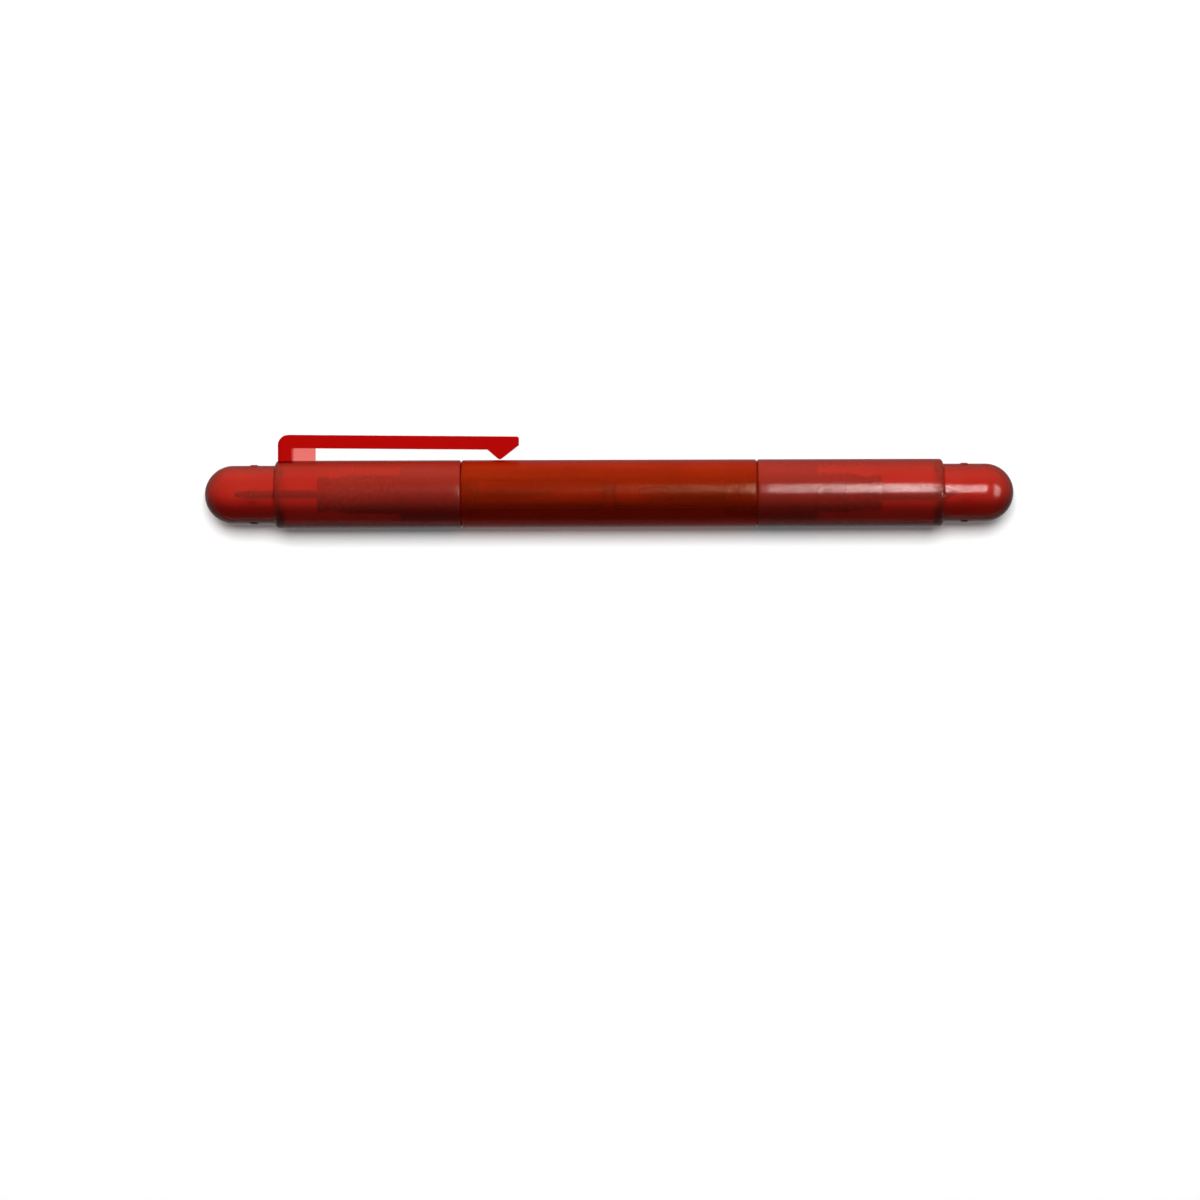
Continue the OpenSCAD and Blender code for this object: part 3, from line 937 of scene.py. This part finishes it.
@dataclass
class PocketClip:
    """The clip: a foot on the cap, a thin web beside it, and a springy arm with a bead under its end.

    Attributes:
        place: the frame of the pen.
        width: width of the clip.
        arm_t: thickness of the arm.
        gap: gap between the arm's root and the sleeve.
        drop: how much lower the arm's tip lies than its root.
        foot_len: length of the foot along the pen.
        foot_r: rounding of the foot's upper corner.
        inner_r: rounding of the corner under the arm's root.
        web_len: length of the web.
        web_t: thickness of the web.
        bead_from_end: distance from the arm's end to the bead's tip.
        bead_steep_len: length of the bead's steep side.
        bead_clearance: room between the bead and the barrel.
        bead_r: rounding of the bead's tip.
        end_face_h: height of the arm's end face.
        end_r: rounding of the arm's upper end.
        edge: rounding of the long edges.
        sink: how far the foot and web reach into what they join.
        spacing: spacing of the outline's points.
    """

    place: PenFrame
    width: float = 4.5
    arm_t: float = 2.3
    gap: float = 2.15
    drop: float = 0.4
    foot_len: float = 2.4
    foot_r: float = 1.8
    inner_r: float = 0.3
    web_len: float = 4.0
    web_t: float = 0.8
    bead_from_end: float = 3.3
    bead_steep_len: float = 2.15
    bead_clearance: float = 0.1
    bead_r: float = 0.3
    end_face_h: float = 1.5
    end_r: float = 0.35
    edge: float = 0.22
    sink: float = 0.12
    spacing: float = 0.7

    def outline(self) -> Array:
        """Side view of the foot and arm, from the foot's outer lower corner round over the top.

        Returns:
            Rows of place along the pen and height over its axis.
        """
        start, end = reach("clip_post")[0], reach("pocket_clip")[1]
        body_r = self.place.body_r
        top = body_r + self.gap + self.arm_t
        under = top - self.arm_t
        bead_u = end - self.bead_from_end
        steep_u = bead_u - self.bead_steep_len
        low = body_r + self.bead_clearance

        def drop_at(u: float) -> float:
            """Height that the arm has lost at a place along the pen."""
            return self.drop * max(0.0, u - start - self.foot_len) / (end - start - self.foot_len)

        end_top = top - self.drop
        end_low = end_top - self.end_face_h
        steep_z = under - drop_at(steep_u)
        inner = start + self.foot_len
        stretches = (
            line(start, body_r, start, top - self.foot_r, self.spacing),
            arc(start + self.foot_r, top - self.foot_r, self.foot_r, 180, 90, 10),
            line(start + self.foot_r, top, inner, top, self.spacing),
            line(inner, top, end - self.end_r, end_top, self.spacing),
            arc(end - self.end_r, end_top - self.end_r, self.end_r, 90, 0, 5),
            line(end, end_top - self.end_r, end, end_low, self.spacing),
            line(end, end_low, bead_u + self.bead_r, low + self.bead_r * 0.45, self.spacing),
            arc(bead_u, low + self.bead_r, self.bead_r, -40, -140, 4),
            line(bead_u - self.bead_r, low + self.bead_r * 0.4, steep_u, steep_z, self.spacing),
            line(steep_u, steep_z, inner + self.inner_r, under, self.spacing),
            arc(inner + self.inner_r, under - self.inner_r, self.inner_r, 90, 180, 4),
            line(inner, under - self.inner_r, inner, body_r, self.spacing))
        return join(*stretches)

    def slab(self, outline: Array, width: float, edge: float) -> Skin:
        """Carry an outline across the clip with rounded edges, and seat its foot on the round sleeve.

        Each ring is the outline, drawn in along its normals near both faces by a quarter circle. Points at
        or below the sleeve's top follow the sleeve: z is the root of its radius squared less y squared.

        Args:
            outline: the closed side view.
            width: the clip's width.
            edge: rounding of its long edges.

        Returns:
            The closed slab.
        """
        quarter = np.radians(np.linspace(0.0, 90.0, 5))
        inset = edge * (1.0 - np.sin(quarter))
        middle = np.linspace(-1.0, 1.0, 9)[1:-1] * (width / 2 - edge)
        across = np.concatenate((-(width / 2 - edge + edge * np.cos(quarter)), middle,
                                 (width / 2 - edge + edge * np.cos(quarter))[::-1]))
        drawn = np.concatenate((inset, np.zeros(len(middle)), inset[::-1]))
        ahead = np.roll(outline, -1, axis=0) - outline
        behind = outline - np.roll(outline, 1, axis=0)
        tangent = (ahead / np.linalg.norm(ahead, axis=1)[:, None]
                   + behind / np.linalg.norm(behind, axis=1)[:, None])
        tangent /= np.linalg.norm(tangent, axis=1)[:, None]
        inward = np.column_stack((tangent[:, 1], -tangent[:, 0]))
        plan = outline[None] + drawn[:, None, None] * inward[None]
        y = np.broadcast_to(across[:, None], plan.shape[:2])
        seat = np.sqrt((self.place.body_r - self.sink) ** 2 - y ** 2)
        on_sleeve = np.broadcast_to(outline[:, 1] <= self.place.body_r + TINY, y.shape)
        height = np.where(on_sleeve, seat, plan[..., 1])
        return Skin.from_grid(np.stack((plan[..., 0], y, height), axis=-1), Ends.FLAT)

    def web(self) -> Array:
        """Side view of the web, which reaches a little into the foot and the arm.

        Returns:
            Rows of place along the pen and height over its axis.
        """
        start = reach("clip_post")[0]
        body_r = self.place.body_r
        inner, outer = start + self.foot_len - self.sink, start + self.foot_len + self.web_len
        top = body_r + self.gap + self.sink
        corners = ((inner, body_r), (inner, top), (outer, top), (outer, body_r), (inner, body_r))
        sides = [line(*corners[i], *corners[i + 1], self.spacing) for i in range(4)]
        return join(*sides)[:-1]

    def build(self, material: bpy.types.Material) -> bpy.types.Object:
        """Join the slab and its web into one moulding.

        Args:
            material: the clip's finish.

        Returns:
            The clip.
        """
        clip = self.slab(self.outline(), self.width, self.edge).to_object("spring_clip", self.place, material)
        web = self.slab(self.web(), self.web_t, self.edge / 3).to_object("clip_web", self.place, material)
        union = clip.modifiers.new("web", "BOOLEAN")
        union.operation = "UNION"
        union.solver = "EXACT"
        union.object = web
        joined = bpy.data.meshes.new_from_object(clip.evaluated_get(bpy.context.evaluated_depsgraph_get()))
        clip.modifiers.clear()
        clip.data = joined
        joined.name = clip.name
        joined.set_sharp_from_angle(angle=SMOOTH_ANGLE)
        bpy.data.objects.remove(web)
        return clip


@dataclass
class DriverBit:
    """A double-ended bit: a rod with a flat blade and a cross point, moulded into a knurled handle.

    Attributes:
        place: the frame of the pen.
        side: the half of the pen that stores the bit.
        size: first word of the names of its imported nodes.
        rod_d: diameter of the rod.
        turn: turn in the socket in degrees.
        blade_len: length of the blade's ground faces.
        blade_edge: thickness of the blade's edge.
        point_len: length of the cross point's cone.
        point_end_d: diameter of its blunt end.
        flute_len: length of its flutes.
        handle_af: width of the handle across its flats.
        corner_r: radius of the handle's rounded corners.
        collar_r: radius of the collars.
        collar_len: length of the collars.
        collar_bevel: rounding of the collars' edges.
        groove_len: length of the grooves beside the collars.
        groove_r: radius of those grooves.
        flare_len: length of the flares between groove and grip.
        wing_share: half the wings' thickness at the tip, as a share of the blunt end.
        anchor_w_share: width of the rod's flattened stretch, as a share of the rod's diameter.
        anchor_t_share: its thickness, as a share of the rod's diameter.
        anchor_len_share: its length, as a share of the handle's.
        bond: how far the handle grips into the rod's skin.
        panel_len: length of the knurled panels.
        panel_w: width of the panels.
        panel_depth: how deep the panels lie.
        diamond_len: pitch of the diamonds along the pen.
        diamond_w: pitch of the diamonds around it.
        groove_w: half the width of the V grooves.
        knurl_depth: depth of the V grooves' floors.
    """

    place: PenFrame
    side: Side
    size: str
    rod_d: float
    turn: float
    blade_len: float
    blade_edge: float
    point_len: float
    point_end_d: float
    flute_len: float
    handle_af: float = 6.2
    corner_r: float = 3.43
    collar_r: float = 3.07
    collar_len: float = 1.9
    collar_bevel: float = 0.2
    groove_len: float = 0.7
    groove_r: float = 2.74
    flare_len: float = 4.3
    wing_share: float = 0.3
    anchor_w_share: float = 1.4
    anchor_t_share: float = 0.6
    anchor_len_share: float = 0.3
    bond: float = 0.01
    panel_len: float = 14.8
    panel_w: float = 4.0
    panel_depth: float = 0.1
    diamond_len: float = 3.1
    diamond_w: float = 1.7
    groove_w: float = 0.34
    knurl_depth: float = 0.2

    def __post_init__(self) -> None:
        """Read the handle's and the rod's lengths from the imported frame."""
        self.seat, self.handle_end = span(f"{self.size}_bit_handle")
        self.blade_tip, self.point_tip = span(f"{self.size}_bit_rod")
        self.handle_len = self.handle_end - self.seat

    def placed(self, skin: Skin) -> Skin:
        """Turn a skin about the pen's axis by the bit's turn and take it to its side.

        Args:
            skin: a skin drawn in the right half of the pen.

        Returns:
            The skin in its place.
        """
        angle = np.radians(-self.turn)
        cos, sin = np.cos(angle), np.sin(angle)
        about = np.array(((1.0, 0.0, 0.0), (0.0, cos, sin), (0.0, -sin, cos)))
        return side_of(skin.moved(about), self.side)

    def anchor(self, places: Array, radii: Array, angles: Array) -> Array:
        """Widen the rod where its handle grips it: the larger of the rod and a flat plate's section.

        Args:
            places: place along the pen of each row.
            radii: the rod's radius without the plate, rows by columns.
            angles: angle of each column.

        Returns:
            The radius with the plate.
        """
        half_w = self.rod_d * self.anchor_w_share / 2
        half_t = self.rod_d * self.anchor_t_share / 2
        plate = np.minimum(half_w / np.maximum(np.abs(np.cos(angles)), TINY),
                           half_t / np.maximum(np.abs(np.sin(angles)), TINY))
        middle = (self.seat + self.handle_end) / 2
        half_len = self.handle_len * self.anchor_len_share / 2
        inside = (np.abs(places - middle) <= half_len + TINY)[:, None]
        return np.where(inside, np.maximum(radii, plate[None, :]), radii)

    def handle_profile(self, places: Array) -> Array:
        """Radius of the handle before its flats: collar, groove, a flare on a circle, and the grip.

        The flare is the grip's radius less a circle's sagitta: the circle touches the grip's line at the
        flare's inner end and passes the groove at its outer end.

        Args:
            places: place along the pen of each row.

        Returns:
            The radius of each row.
        """
        from_end = np.minimum(places - self.seat, self.handle_end - places)
        flare_start = self.collar_len + self.groove_len
        rise = self.corner_r - self.groove_r
        flare_r = (self.flare_len ** 2 + rise ** 2) / (2 * rise)
        left = np.clip(flare_start + self.flare_len - from_end, 0.0, self.flare_len)
        grip = self.corner_r - flare_r + np.sqrt(flare_r ** 2 - left ** 2)
        bevel = self.collar_bevel
        edge = np.minimum(from_end, self.collar_len - from_end)
        cut_back = np.clip(bevel - edge, 0.0, bevel)
        collar = self.collar_r - bevel + np.sqrt(np.clip(bevel ** 2 - cut_back ** 2, 0.0, None))
        profile = np.where(from_end < flare_start, self.groove_r, grip)
        return np.where(from_end <= self.collar_len, np.maximum(collar, self.groove_r), profile)

    def knurl(self, places: Array, angles: Array) -> tuple[Array, Array]:
        """Sunk panels on two opposite flats, with diamonds left between crossing V grooves.

        Args:
            places: place along the pen of each row.
            angles: angle of each column.

        Returns:
            How far each point is sunk, and a mask of painted shade over the sunk area, darkest in the
            grooves, both rows by columns.
        """
        along = (places - (self.seat + self.handle_end) / 2)[:, None]
        across = (self.handle_af / 2 * np.cos(angles) / np.maximum(np.abs(np.sin(angles)), 0.3))[None, :]
        fade = 0.25
        ends = 1.0 - smooth(self.panel_len / 2 - fade, self.panel_len / 2, np.abs(along) + 0.1 * across ** 2)
        sides = 1.0 - smooth(self.panel_w / 2 - fade, self.panel_w / 2, np.abs(across))
        mask = ends * sides
        slants = [along / self.diamond_len + sign * across / self.diamond_w for sign in (1, -1)]
        lanes = [np.abs(slant % 1.0 - 0.5) for slant in slants]
        lane_scale = 1.0 / np.hypot(1.0 / self.diamond_len, 1.0 / self.diamond_w)
        grooves = [np.clip(1.0 - lane * lane_scale / self.groove_w, 0.0, 1.0) for lane in lanes]
        cut = np.maximum(grooves[0], grooves[1])
        sunk = self.panel_depth + (self.knurl_depth - self.panel_depth) * cut
        # Painted shade: the sunk area darkens, and its grooves darken most.
        return mask * sunk, mask * (0.35 + 0.65 * cut)

    def build_handle(self, material: bpy.types.Material) -> bpy.types.Object:
        """Skin the handle's outside and the passage that the rod fills as one ring.

        Args:
            material: the handle's finish.

        Returns:
            The handle.
        """
        angles = turns()
        bevel = self.collar_bevel
        ends = np.linspace(0.0, bevel, 5)[:-1]
        collar = np.concatenate((ends, line(bevel, 0.0, self.collar_len - bevel, 0.0, 2 * bevel)[:, 0],
                                 self.collar_len - ends[::-1]))
        rest = np.linspace(self.collar_len + 0.02, self.handle_len / 2, 150)
        half = np.concatenate((collar, rest))
        places = self.seat + np.concatenate((half, self.handle_len - half[::-1][1:]))
        sunk, mask = self.knurl(places, angles)
        flats = hexagon(angles, self.handle_af)[None, :]
        outer = soft_min(self.handle_profile(places)[:, None], flats) - sunk
        middle = (self.seat + self.handle_end) / 2
        grip = self.handle_len * self.anchor_len_share / 2
        bore = np.array((self.seat, middle - grip - 1e-3, middle - grip, middle + grip, middle + grip + 1e-3,
                         self.handle_end))[::-1]
        inner = np.full((len(bore), COLUMNS), self.rod_d / 2)
        inner = self.anchor(bore, inner, angles) - self.bond
        grid = around(np.concatenate((places, bore)), np.vstack((outer, inner)), angles)
        # The knurl mark carries the painted shade of the knurled area to the material.
        marks = {"knurl": np.vstack((mask, np.zeros_like(inner)))}
        skin = self.placed(Skin.from_grid(grid, Ends.RING, marks))
        return skin.to_object(f"{self.size}_handle", self.place, material)

    def build_rod(self, material: bpy.types.Material) -> bpy.types.Object:
        """Skin the rod: a blade left by two grinding wheels, a shank, and a fluted cone.

        Args:
            material: the rod's finish.

        Returns:
            The rod.
        """
        angles = turns()
        radius = self.rod_d / 2
        tip, point = self.blade_tip, self.point_tip
        middle = (self.seat + self.handle_end) / 2
        grip = self.handle_len * self.anchor_len_share / 2
        places = np.concatenate((
            tip + np.linspace(0.0, self.blade_len * 1.1, 70),
            np.array((self.seat, middle - grip - 1e-3, middle - grip, middle + grip, middle + grip + 1e-3,
                      self.handle_end)),
            point - np.linspace(self.flute_len * 1.1, 0.0, 90)))
        cone = np.clip((point - places) / self.point_len, 0.0, 1.0)
        radii = self.point_end_d / 2 + (radius - self.point_end_d / 2) * cone
        root = self.point_end_d * self.wing_share
        rise = (radius / np.sqrt(2.0) - root) / self.flute_len
        wing = root + rise * np.clip(point - places, 0.0, None)
        nearest = np.maximum(np.minimum(np.abs(np.cos(angles)), np.abs(np.sin(angles))), TINY)
        flute = np.where((point - places < self.flute_len)[:, None], wing[:, None] / nearest[None, :], np.inf)
        section = np.minimum(radii[:, None], flute)
        section = self.anchor(places, section, angles)
        grid = around(places, section, angles)
        depth = (self.rod_d - self.blade_edge) / 2
        run = self.blade_len - self.blade_edge
        wheel_r = (run ** 2 + depth ** 2) / (2 * depth)
        past = np.clip(places - tip - self.blade_edge, -self.blade_edge, wheel_r)
        half_t = np.where(places - tip < self.blade_len,
                          self.blade_edge / 2 + wheel_r - np.sqrt(wheel_r ** 2 - past ** 2), np.inf)
        cut = np.abs(grid[..., 1]) > half_t[:, None]
        grid[..., 1] = np.clip(grid[..., 1], -half_t[:, None], half_t[:, None])
        ground = np.maximum(cut, section < radii[:, None] - 1e-4).astype(float)
        ground = np.maximum(ground, ((point - places) < self.point_len)[:, None])
        skin = self.placed(Skin.from_grid(grid, marks={"ground": ground}))
        return skin.to_object(f"{self.size}_rod", self.place, material)


@dataclass(frozen=True)
class Lamp:
    """A soft studio lamp.

    Attributes:
        name: the lamp's name.
        spot: its place in metres.
        size: its width and height in metres.
        power: its power in watts.
        lights: what it shines on.
        mirrored: True if it only shows in reflections, False if it only lights.
    """

    name: str
    spot: tuple[float, float, float]
    size: tuple[float, float]
    power: float
    lights: Light
    mirrored: bool = False


@dataclass
class Studio:
    """Table, lamps, surroundings and camera.

    Attributes:
        place: the frame of the pen.
        picture_px: width and height of the picture.
        pen_px: the pen's middle in the picture, across and down.
        px_per_mm: picture scale at the pen.
        distance: distance of the camera from the pen in millimetres.
        table_size: width of the table in metres.
        roll: turn of the camera about its view, in degrees.
        surround: brightness all round, where the camera doesn't look.
        backdrop: heights, as sines, between which the white backdrop ends in the dark of the studio.
        table_glow: brightness that the table shows without a lamp.
        table_white: the table's tone to the camera.
        table_mirrored: its tone in reflections.
        table_dim: its tone to light that a matte surface spreads.
        shade_start: places across the table, in metres, between which the pen's shadow begins.
        shade_end: places between which it ends.
        shade_low: what is left of the table's light in the shadow, as seen through the pen.
        lens_end: places between which the light that the pen gathers fades.
        lens_gain: brightness of the table where the pen gathers light.
        lamps: the lamps.
    """

    place: PenFrame
    picture_px: float = 1200.0
    pen_px: tuple[float, float] = (609.4, 493.55)
    px_per_mm: float = 5.77
    distance: float = 750.0
    table_size: float = 6.0
    roll: float = -0.18
    surround: float = 0.15
    backdrop: tuple[float, float] = (0.03, 0.15)
    table_glow: float = 0.03
    table_white: float = 0.9
    table_mirrored: float = 0.35
    table_dim: float = 0.2
    shade_start: tuple[float, float] = (-0.0085, -0.004)
    shade_end: tuple[float, float] = (-0.02, -0.013)
    shade_low: float = 0.3
    lens_end: tuple[float, float] = (-0.001, 0.0025)
    lens_gain: float = 1.7
    lamps: tuple[Lamp, ...] = (
        Lamp("top_box", (0.0, 0.5, 0.068), (0.5, 0.12), 7.8, Light.PEN),
        Lamp("front_box", (0.05, 0.35, 0.65), (0.6, 0.5), 0.3, Light.PEN),
        Lamp("streak_strip", (0.042, 0.296, 0.408), (0.07, 0.14), 0.1, Light.SHELL, mirrored=True),
        Lamp("streak_end", (0.09, 0.296, 0.408), (0.025, 0.24), 3.2, Light.SHELL, mirrored=True),
        Lamp("side_box", (0.42, 0.13, 0.26), (0.3, 0.3), 8.0, Light.SHELL, mirrored=True),
        Lamp("bit_box", (0.0, 0.516, 0.305), (0.6, 0.2), 0.5, Light.BITS, mirrored=True),
        Lamp("table_box", (0.0, 0.926, 1.426), (0.64, 0.48), 38.0, Light.TABLE),
    )

    def build_camera(self) -> None:
        """Look at the pen square to the plane of its clip, with the pen where the picture has it."""
        off_x = (self.picture_px / 2 - self.pen_px[0]) / self.px_per_mm
        off_z = (self.pen_px[1] - self.picture_px / 2) / self.px_per_mm
        spot = self.place.point(0.0, -self.distance, 0.0)
        aim = self.place.point(off_x, 0.0, off_z)
        up = self.place.point(0.0, 0.0, 1.0) - self.place.point(0.0, 0.0, 0.0)
        back = (spot - aim).normalized()
        right = up.cross(back).normalized()
        turn = Matrix((right, back.cross(right), back)).transposed()
        data = bpy.data.cameras.new("camera")
        data.sensor_width = 36.0
        half_view = self.picture_px / self.px_per_mm / 2
        data.lens = data.sensor_width / 2 * (spot - aim).length / MM / half_view
        data.clip_start = 0.01
        camera = bpy.data.objects.new("camera", data)
        roll = Matrix.Rotation(np.radians(self.roll), 4, "Z")
        camera.matrix_world = Matrix.Translation(spot) @ turn.to_4x4() @ roll
        bpy.context.scene.collection.objects.link(camera)
        bpy.context.scene.camera = camera

    def seen_rays(self, sketch: NodeSketch) -> tuple[bpy.types.NodeSocket, ...]:
        """Tell apart how the camera comes to see a place, leaving out what a matte surface spreads.

        Args:
            sketch: the material or world that asks.

        Returns:
            Three values that are 0 or 1: seen straight, seen by gloss, and seen through a clear piece.
        """
        ray = sketch.node("ShaderNodeLightPath").outputs
        unspread = sketch.math("LESS_THAN", ray["Diffuse Depth"], 0.5)
        glossy = sketch.math("MULTIPLY", ray["Is Glossy Ray"], unspread)
        through = sketch.math("MULTIPLY", ray["Is Transmission Ray"], unspread)
        return ray["Is Camera Ray"], glossy, through

    def build_table(self) -> bpy.types.Object:
        """Lay a wide white table that keeps the pen's shadow and throws little light back at it.

        Seen through the pen it glows, with a brighter band and a shadow that are ramps across the table.

        Returns:
            The table.
        """
        half = self.table_size / 2
        mesh = bpy.data.meshes.new("table")
        corners = [(-half, -half, 0.0), (half, -half, 0.0), (half, half, 0.0), (-half, half, 0.0)]
        mesh.from_pydata(corners, [], [(0, 1, 2, 3)])
        table = bpy.data.objects.new("table", mesh)
        bpy.context.scene.collection.objects.link(table)
        made = bpy.data.materials.new("table_white")
        made.use_nodes = True
        made.node_tree.nodes.clear()
        sketch = NodeSketch(made.node_tree)
        straight, glossy, through = self.seen_rays(sketch)
        colour = sketch.blend(straight, grey(self.table_dim), grey(self.table_white))
        colour = sketch.blend(glossy, colour, grey(self.table_mirrored))
        colour = sketch.blend(through, colour, grey(0.0))
        diffuse = sketch.node("ShaderNodeBsdfDiffuse", Color=colour)
        places = sketch.node("ShaderNodeTexCoord").outputs["Object"]
        across = sketch.node("ShaderNodeSeparateXYZ", Vector=places).outputs["Y"]
        lit = sketch.math("MULTIPLY", sketch.ramp(across, *self.shade_start, self.shade_low, 1.0),
                          sketch.ramp(across, *self.lens_end, self.lens_gain, 1.0))
        lit = sketch.math("MAXIMUM", lit, sketch.ramp(across, *self.shade_end, 1.0, 0.0))
        white = sketch.math("ADD", sketch.math("MULTIPLY", straight, self.table_glow),
                            sketch.math("MULTIPLY", through, lit))
        glow = sketch.node("ShaderNodeEmission", Strength=white)
        both = sketch.node("ShaderNodeAddShader")
        sketch.fill(both.inputs[0], diffuse.outputs["BSDF"])
        sketch.fill(both.inputs[1], glow.outputs["Emission"])
        sketch.node("ShaderNodeOutputMaterial", Surface=both.outputs["Shader"])
        mesh.materials.append(made)
        return table

    def build_surroundings(self) -> None:
        """Light everything a little from all round, and show a white backdrop around the table."""
        world = bpy.data.worlds.new("surroundings")
        bpy.context.scene.world = world
        world.use_nodes = True
        world.node_tree.nodes.clear()
        sketch = NodeSketch(world.node_tree)
        way = sketch.node("ShaderNodeTexCoord").outputs["Generated"]
        up = sketch.node("ShaderNodeSeparateXYZ", Vector=way).outputs["Z"]
        low = sketch.ramp(up, *self.backdrop, 1.0, 0.0)
        straight, glossy, through = self.seen_rays(sketch)
        indirect = sketch.math("MULTIPLY", sketch.math("MAXIMUM", glossy, through), low)
        seen = sketch.math("MAXIMUM", straight, indirect)
        strength = sketch.ramp(seen, 0.0, 1.0, self.surround, 1.0)
        back = sketch.node("ShaderNodeBackground", Color=(1.0, 1.0, 1.0, 1.0), Strength=strength)
        sketch.node("ShaderNodeOutputWorld", Surface=back.outputs["Background"])

    def gather(self, name: str, objects: list[bpy.types.Object]) -> bpy.types.Collection:
        """Put objects in a collection that lamps can name.

        Args:
            name: the collection's name.
            objects: its objects.

        Returns:
            The collection.
        """
        made = bpy.data.collections.new(name)
        for item in objects:
            made.objects.link(item)
        return made

    def build_lamps(self, receivers: dict[Light, list[bpy.types.Object]],
                    shading: dict[Light, list[bpy.types.Object]]) -> None:
        """Hang the lamps, each aimed at the pen and shining on its own set of objects.

        Args:
            receivers: the objects that each kind of lamp lights.
            shading: the objects that cast a shadow in the light of each kind of lamp.
        """
        lit = {light: self.gather(f"lit_{light.value}", objects) for light, objects in receivers.items()}
        shaded = {light: self.gather(f"shading_{light.value}", objects) for light, objects in shading.items()}
        aim = self.place.point(0.0, 0.0, 0.0)
        for lamp in self.lamps:
            data = bpy.data.lights.new(lamp.name, "AREA")
            data.shape = "RECTANGLE"
            data.size, data.size_y = lamp.size
            data.energy = lamp.power
            made = bpy.data.objects.new(lamp.name, data)
            made.location = lamp.spot
            away = Vector(lamp.spot) - Vector((lamp.spot[0], aim.y, aim.z))
            made.rotation_euler = away.to_track_quat("Z", "Y").to_euler()
            bpy.context.scene.collection.objects.link(made)
            made.visible_glossy = lamp.mirrored
            made.visible_diffuse = not lamp.mirrored
            made.visible_transmission = made.visible_camera = False
            made.light_linking.receiver_collection = lit[lamp.lights]
            made.light_linking.blocker_collection = shaded[lamp.lights]

    def set_view(self) -> None:
        """Show colours as they are written, and let light pass all the nested walls."""
        scene = bpy.context.scene
        scene.view_settings.view_transform = "Standard"
        scene.cycles.max_bounces = 24
        scene.cycles.transmission_bounces = 24
        scene.cycles.transparent_max_bounces = 32


def settle(piece: bpy.types.Object, body: str, slot: str, *nodes: str) -> bpy.types.Object:
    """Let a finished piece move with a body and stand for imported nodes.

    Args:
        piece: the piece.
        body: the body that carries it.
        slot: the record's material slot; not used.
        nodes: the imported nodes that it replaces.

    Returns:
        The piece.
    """
    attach(piece, body)
    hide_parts(*nodes)
    LOG.info("%s: %d faces, rides on %s", piece.name, len(piece.data.polygons), body)
    return piece


def settle_clip(clip: bpy.types.Object) -> bpy.types.Object:
    """Bake the clip's place into its mesh and hide the imported clip nodes that it stands for.

    Args:
        clip: the clip.

    Returns:
        The clip.
    """
    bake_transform(clip)
    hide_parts("clip_post", "pocket_clip")
    LOG.info("%s: %d faces, bends from clip_cap to pocket_clip", clip.name, len(clip.data.polygons))
    return clip


def main() -> None:
    """Build every piece of the pen in order, then the studio."""
    logging.basicConfig(level=logging.INFO, format="%(name)s: %(message)s")
    place = PenFrame.from_packed(frame)
    effects = SurfaceEffects()
    finishes = {finish.name: finish.material(effects) for finish in (
        BARREL_PLASTIC, CAP_PLASTIC, CLIP_PLASTIC, HANDLE_PLASTIC, ROD_STEEL)}
    cap_red, handle_red = finishes[CAP_PLASTIC.name], finishes[HANDLE_PLASTIC.name]
    steel = finishes[ROD_STEEL.name]
    small = DriverBit(place, Side.LEFT, "small", rod_d=1.5, turn=60.0, blade_len=4.0, blade_edge=0.35,
                      point_len=1.6, point_end_d=0.5, flute_len=3.4)
    large = DriverBit(place, Side.RIGHT, "large", rod_d=3.0, turn=0.0, blade_len=5.4, blade_edge=0.6,
                      point_len=2.85, point_end_d=0.8, flute_len=6.0)
    shell = Barrel(place).build(finishes[BARREL_PLASTIC.name])
    pieces = [settle(shell, "barrel", "barrel_plastic", "barrel")]
    for bit in (small, large):
        body = f"{bit.size}_bit"
        pieces.append(settle(bit.build_handle(handle_red), body, "handle_plastic", f"{body}_handle"))
        pieces.append(settle(bit.build_rod(steel), body, "nickel_steel", f"{body}_rod"))
    left_cap = Cap(place, "clip_cap", Side.LEFT).build("clip_cap_shell", cap_red)
    right_cap = Cap(place, "plain_cap", Side.RIGHT).build("plain_cap_shell", cap_red)
    pieces.append(settle(left_cap, "clip_cap", "cap_plastic", "clip_cap"))
    pieces.append(settle(right_cap, "plain_cap", "cap_plastic", "plain_cap"))
    pieces.append(settle_clip(PocketClip(place).build(finishes[CLIP_PLASTIC.name])))
    studio = Studio(place)
    studio.build_camera()
    table = studio.build_table()
    studio.build_surroundings()
    bits, shells = pieces[1:5], [pieces[0], *pieces[5:7]]
    lit = {Light.PEN: pieces, Light.SHELL: shells, Light.BITS: bits, Light.TABLE: [table]}
    shading = dict.fromkeys(Light, pieces) | {Light.TABLE: shells + bits}
    studio.build_lamps(lit, shading)
    studio.set_view()


if __name__ == "__main__":
    main()
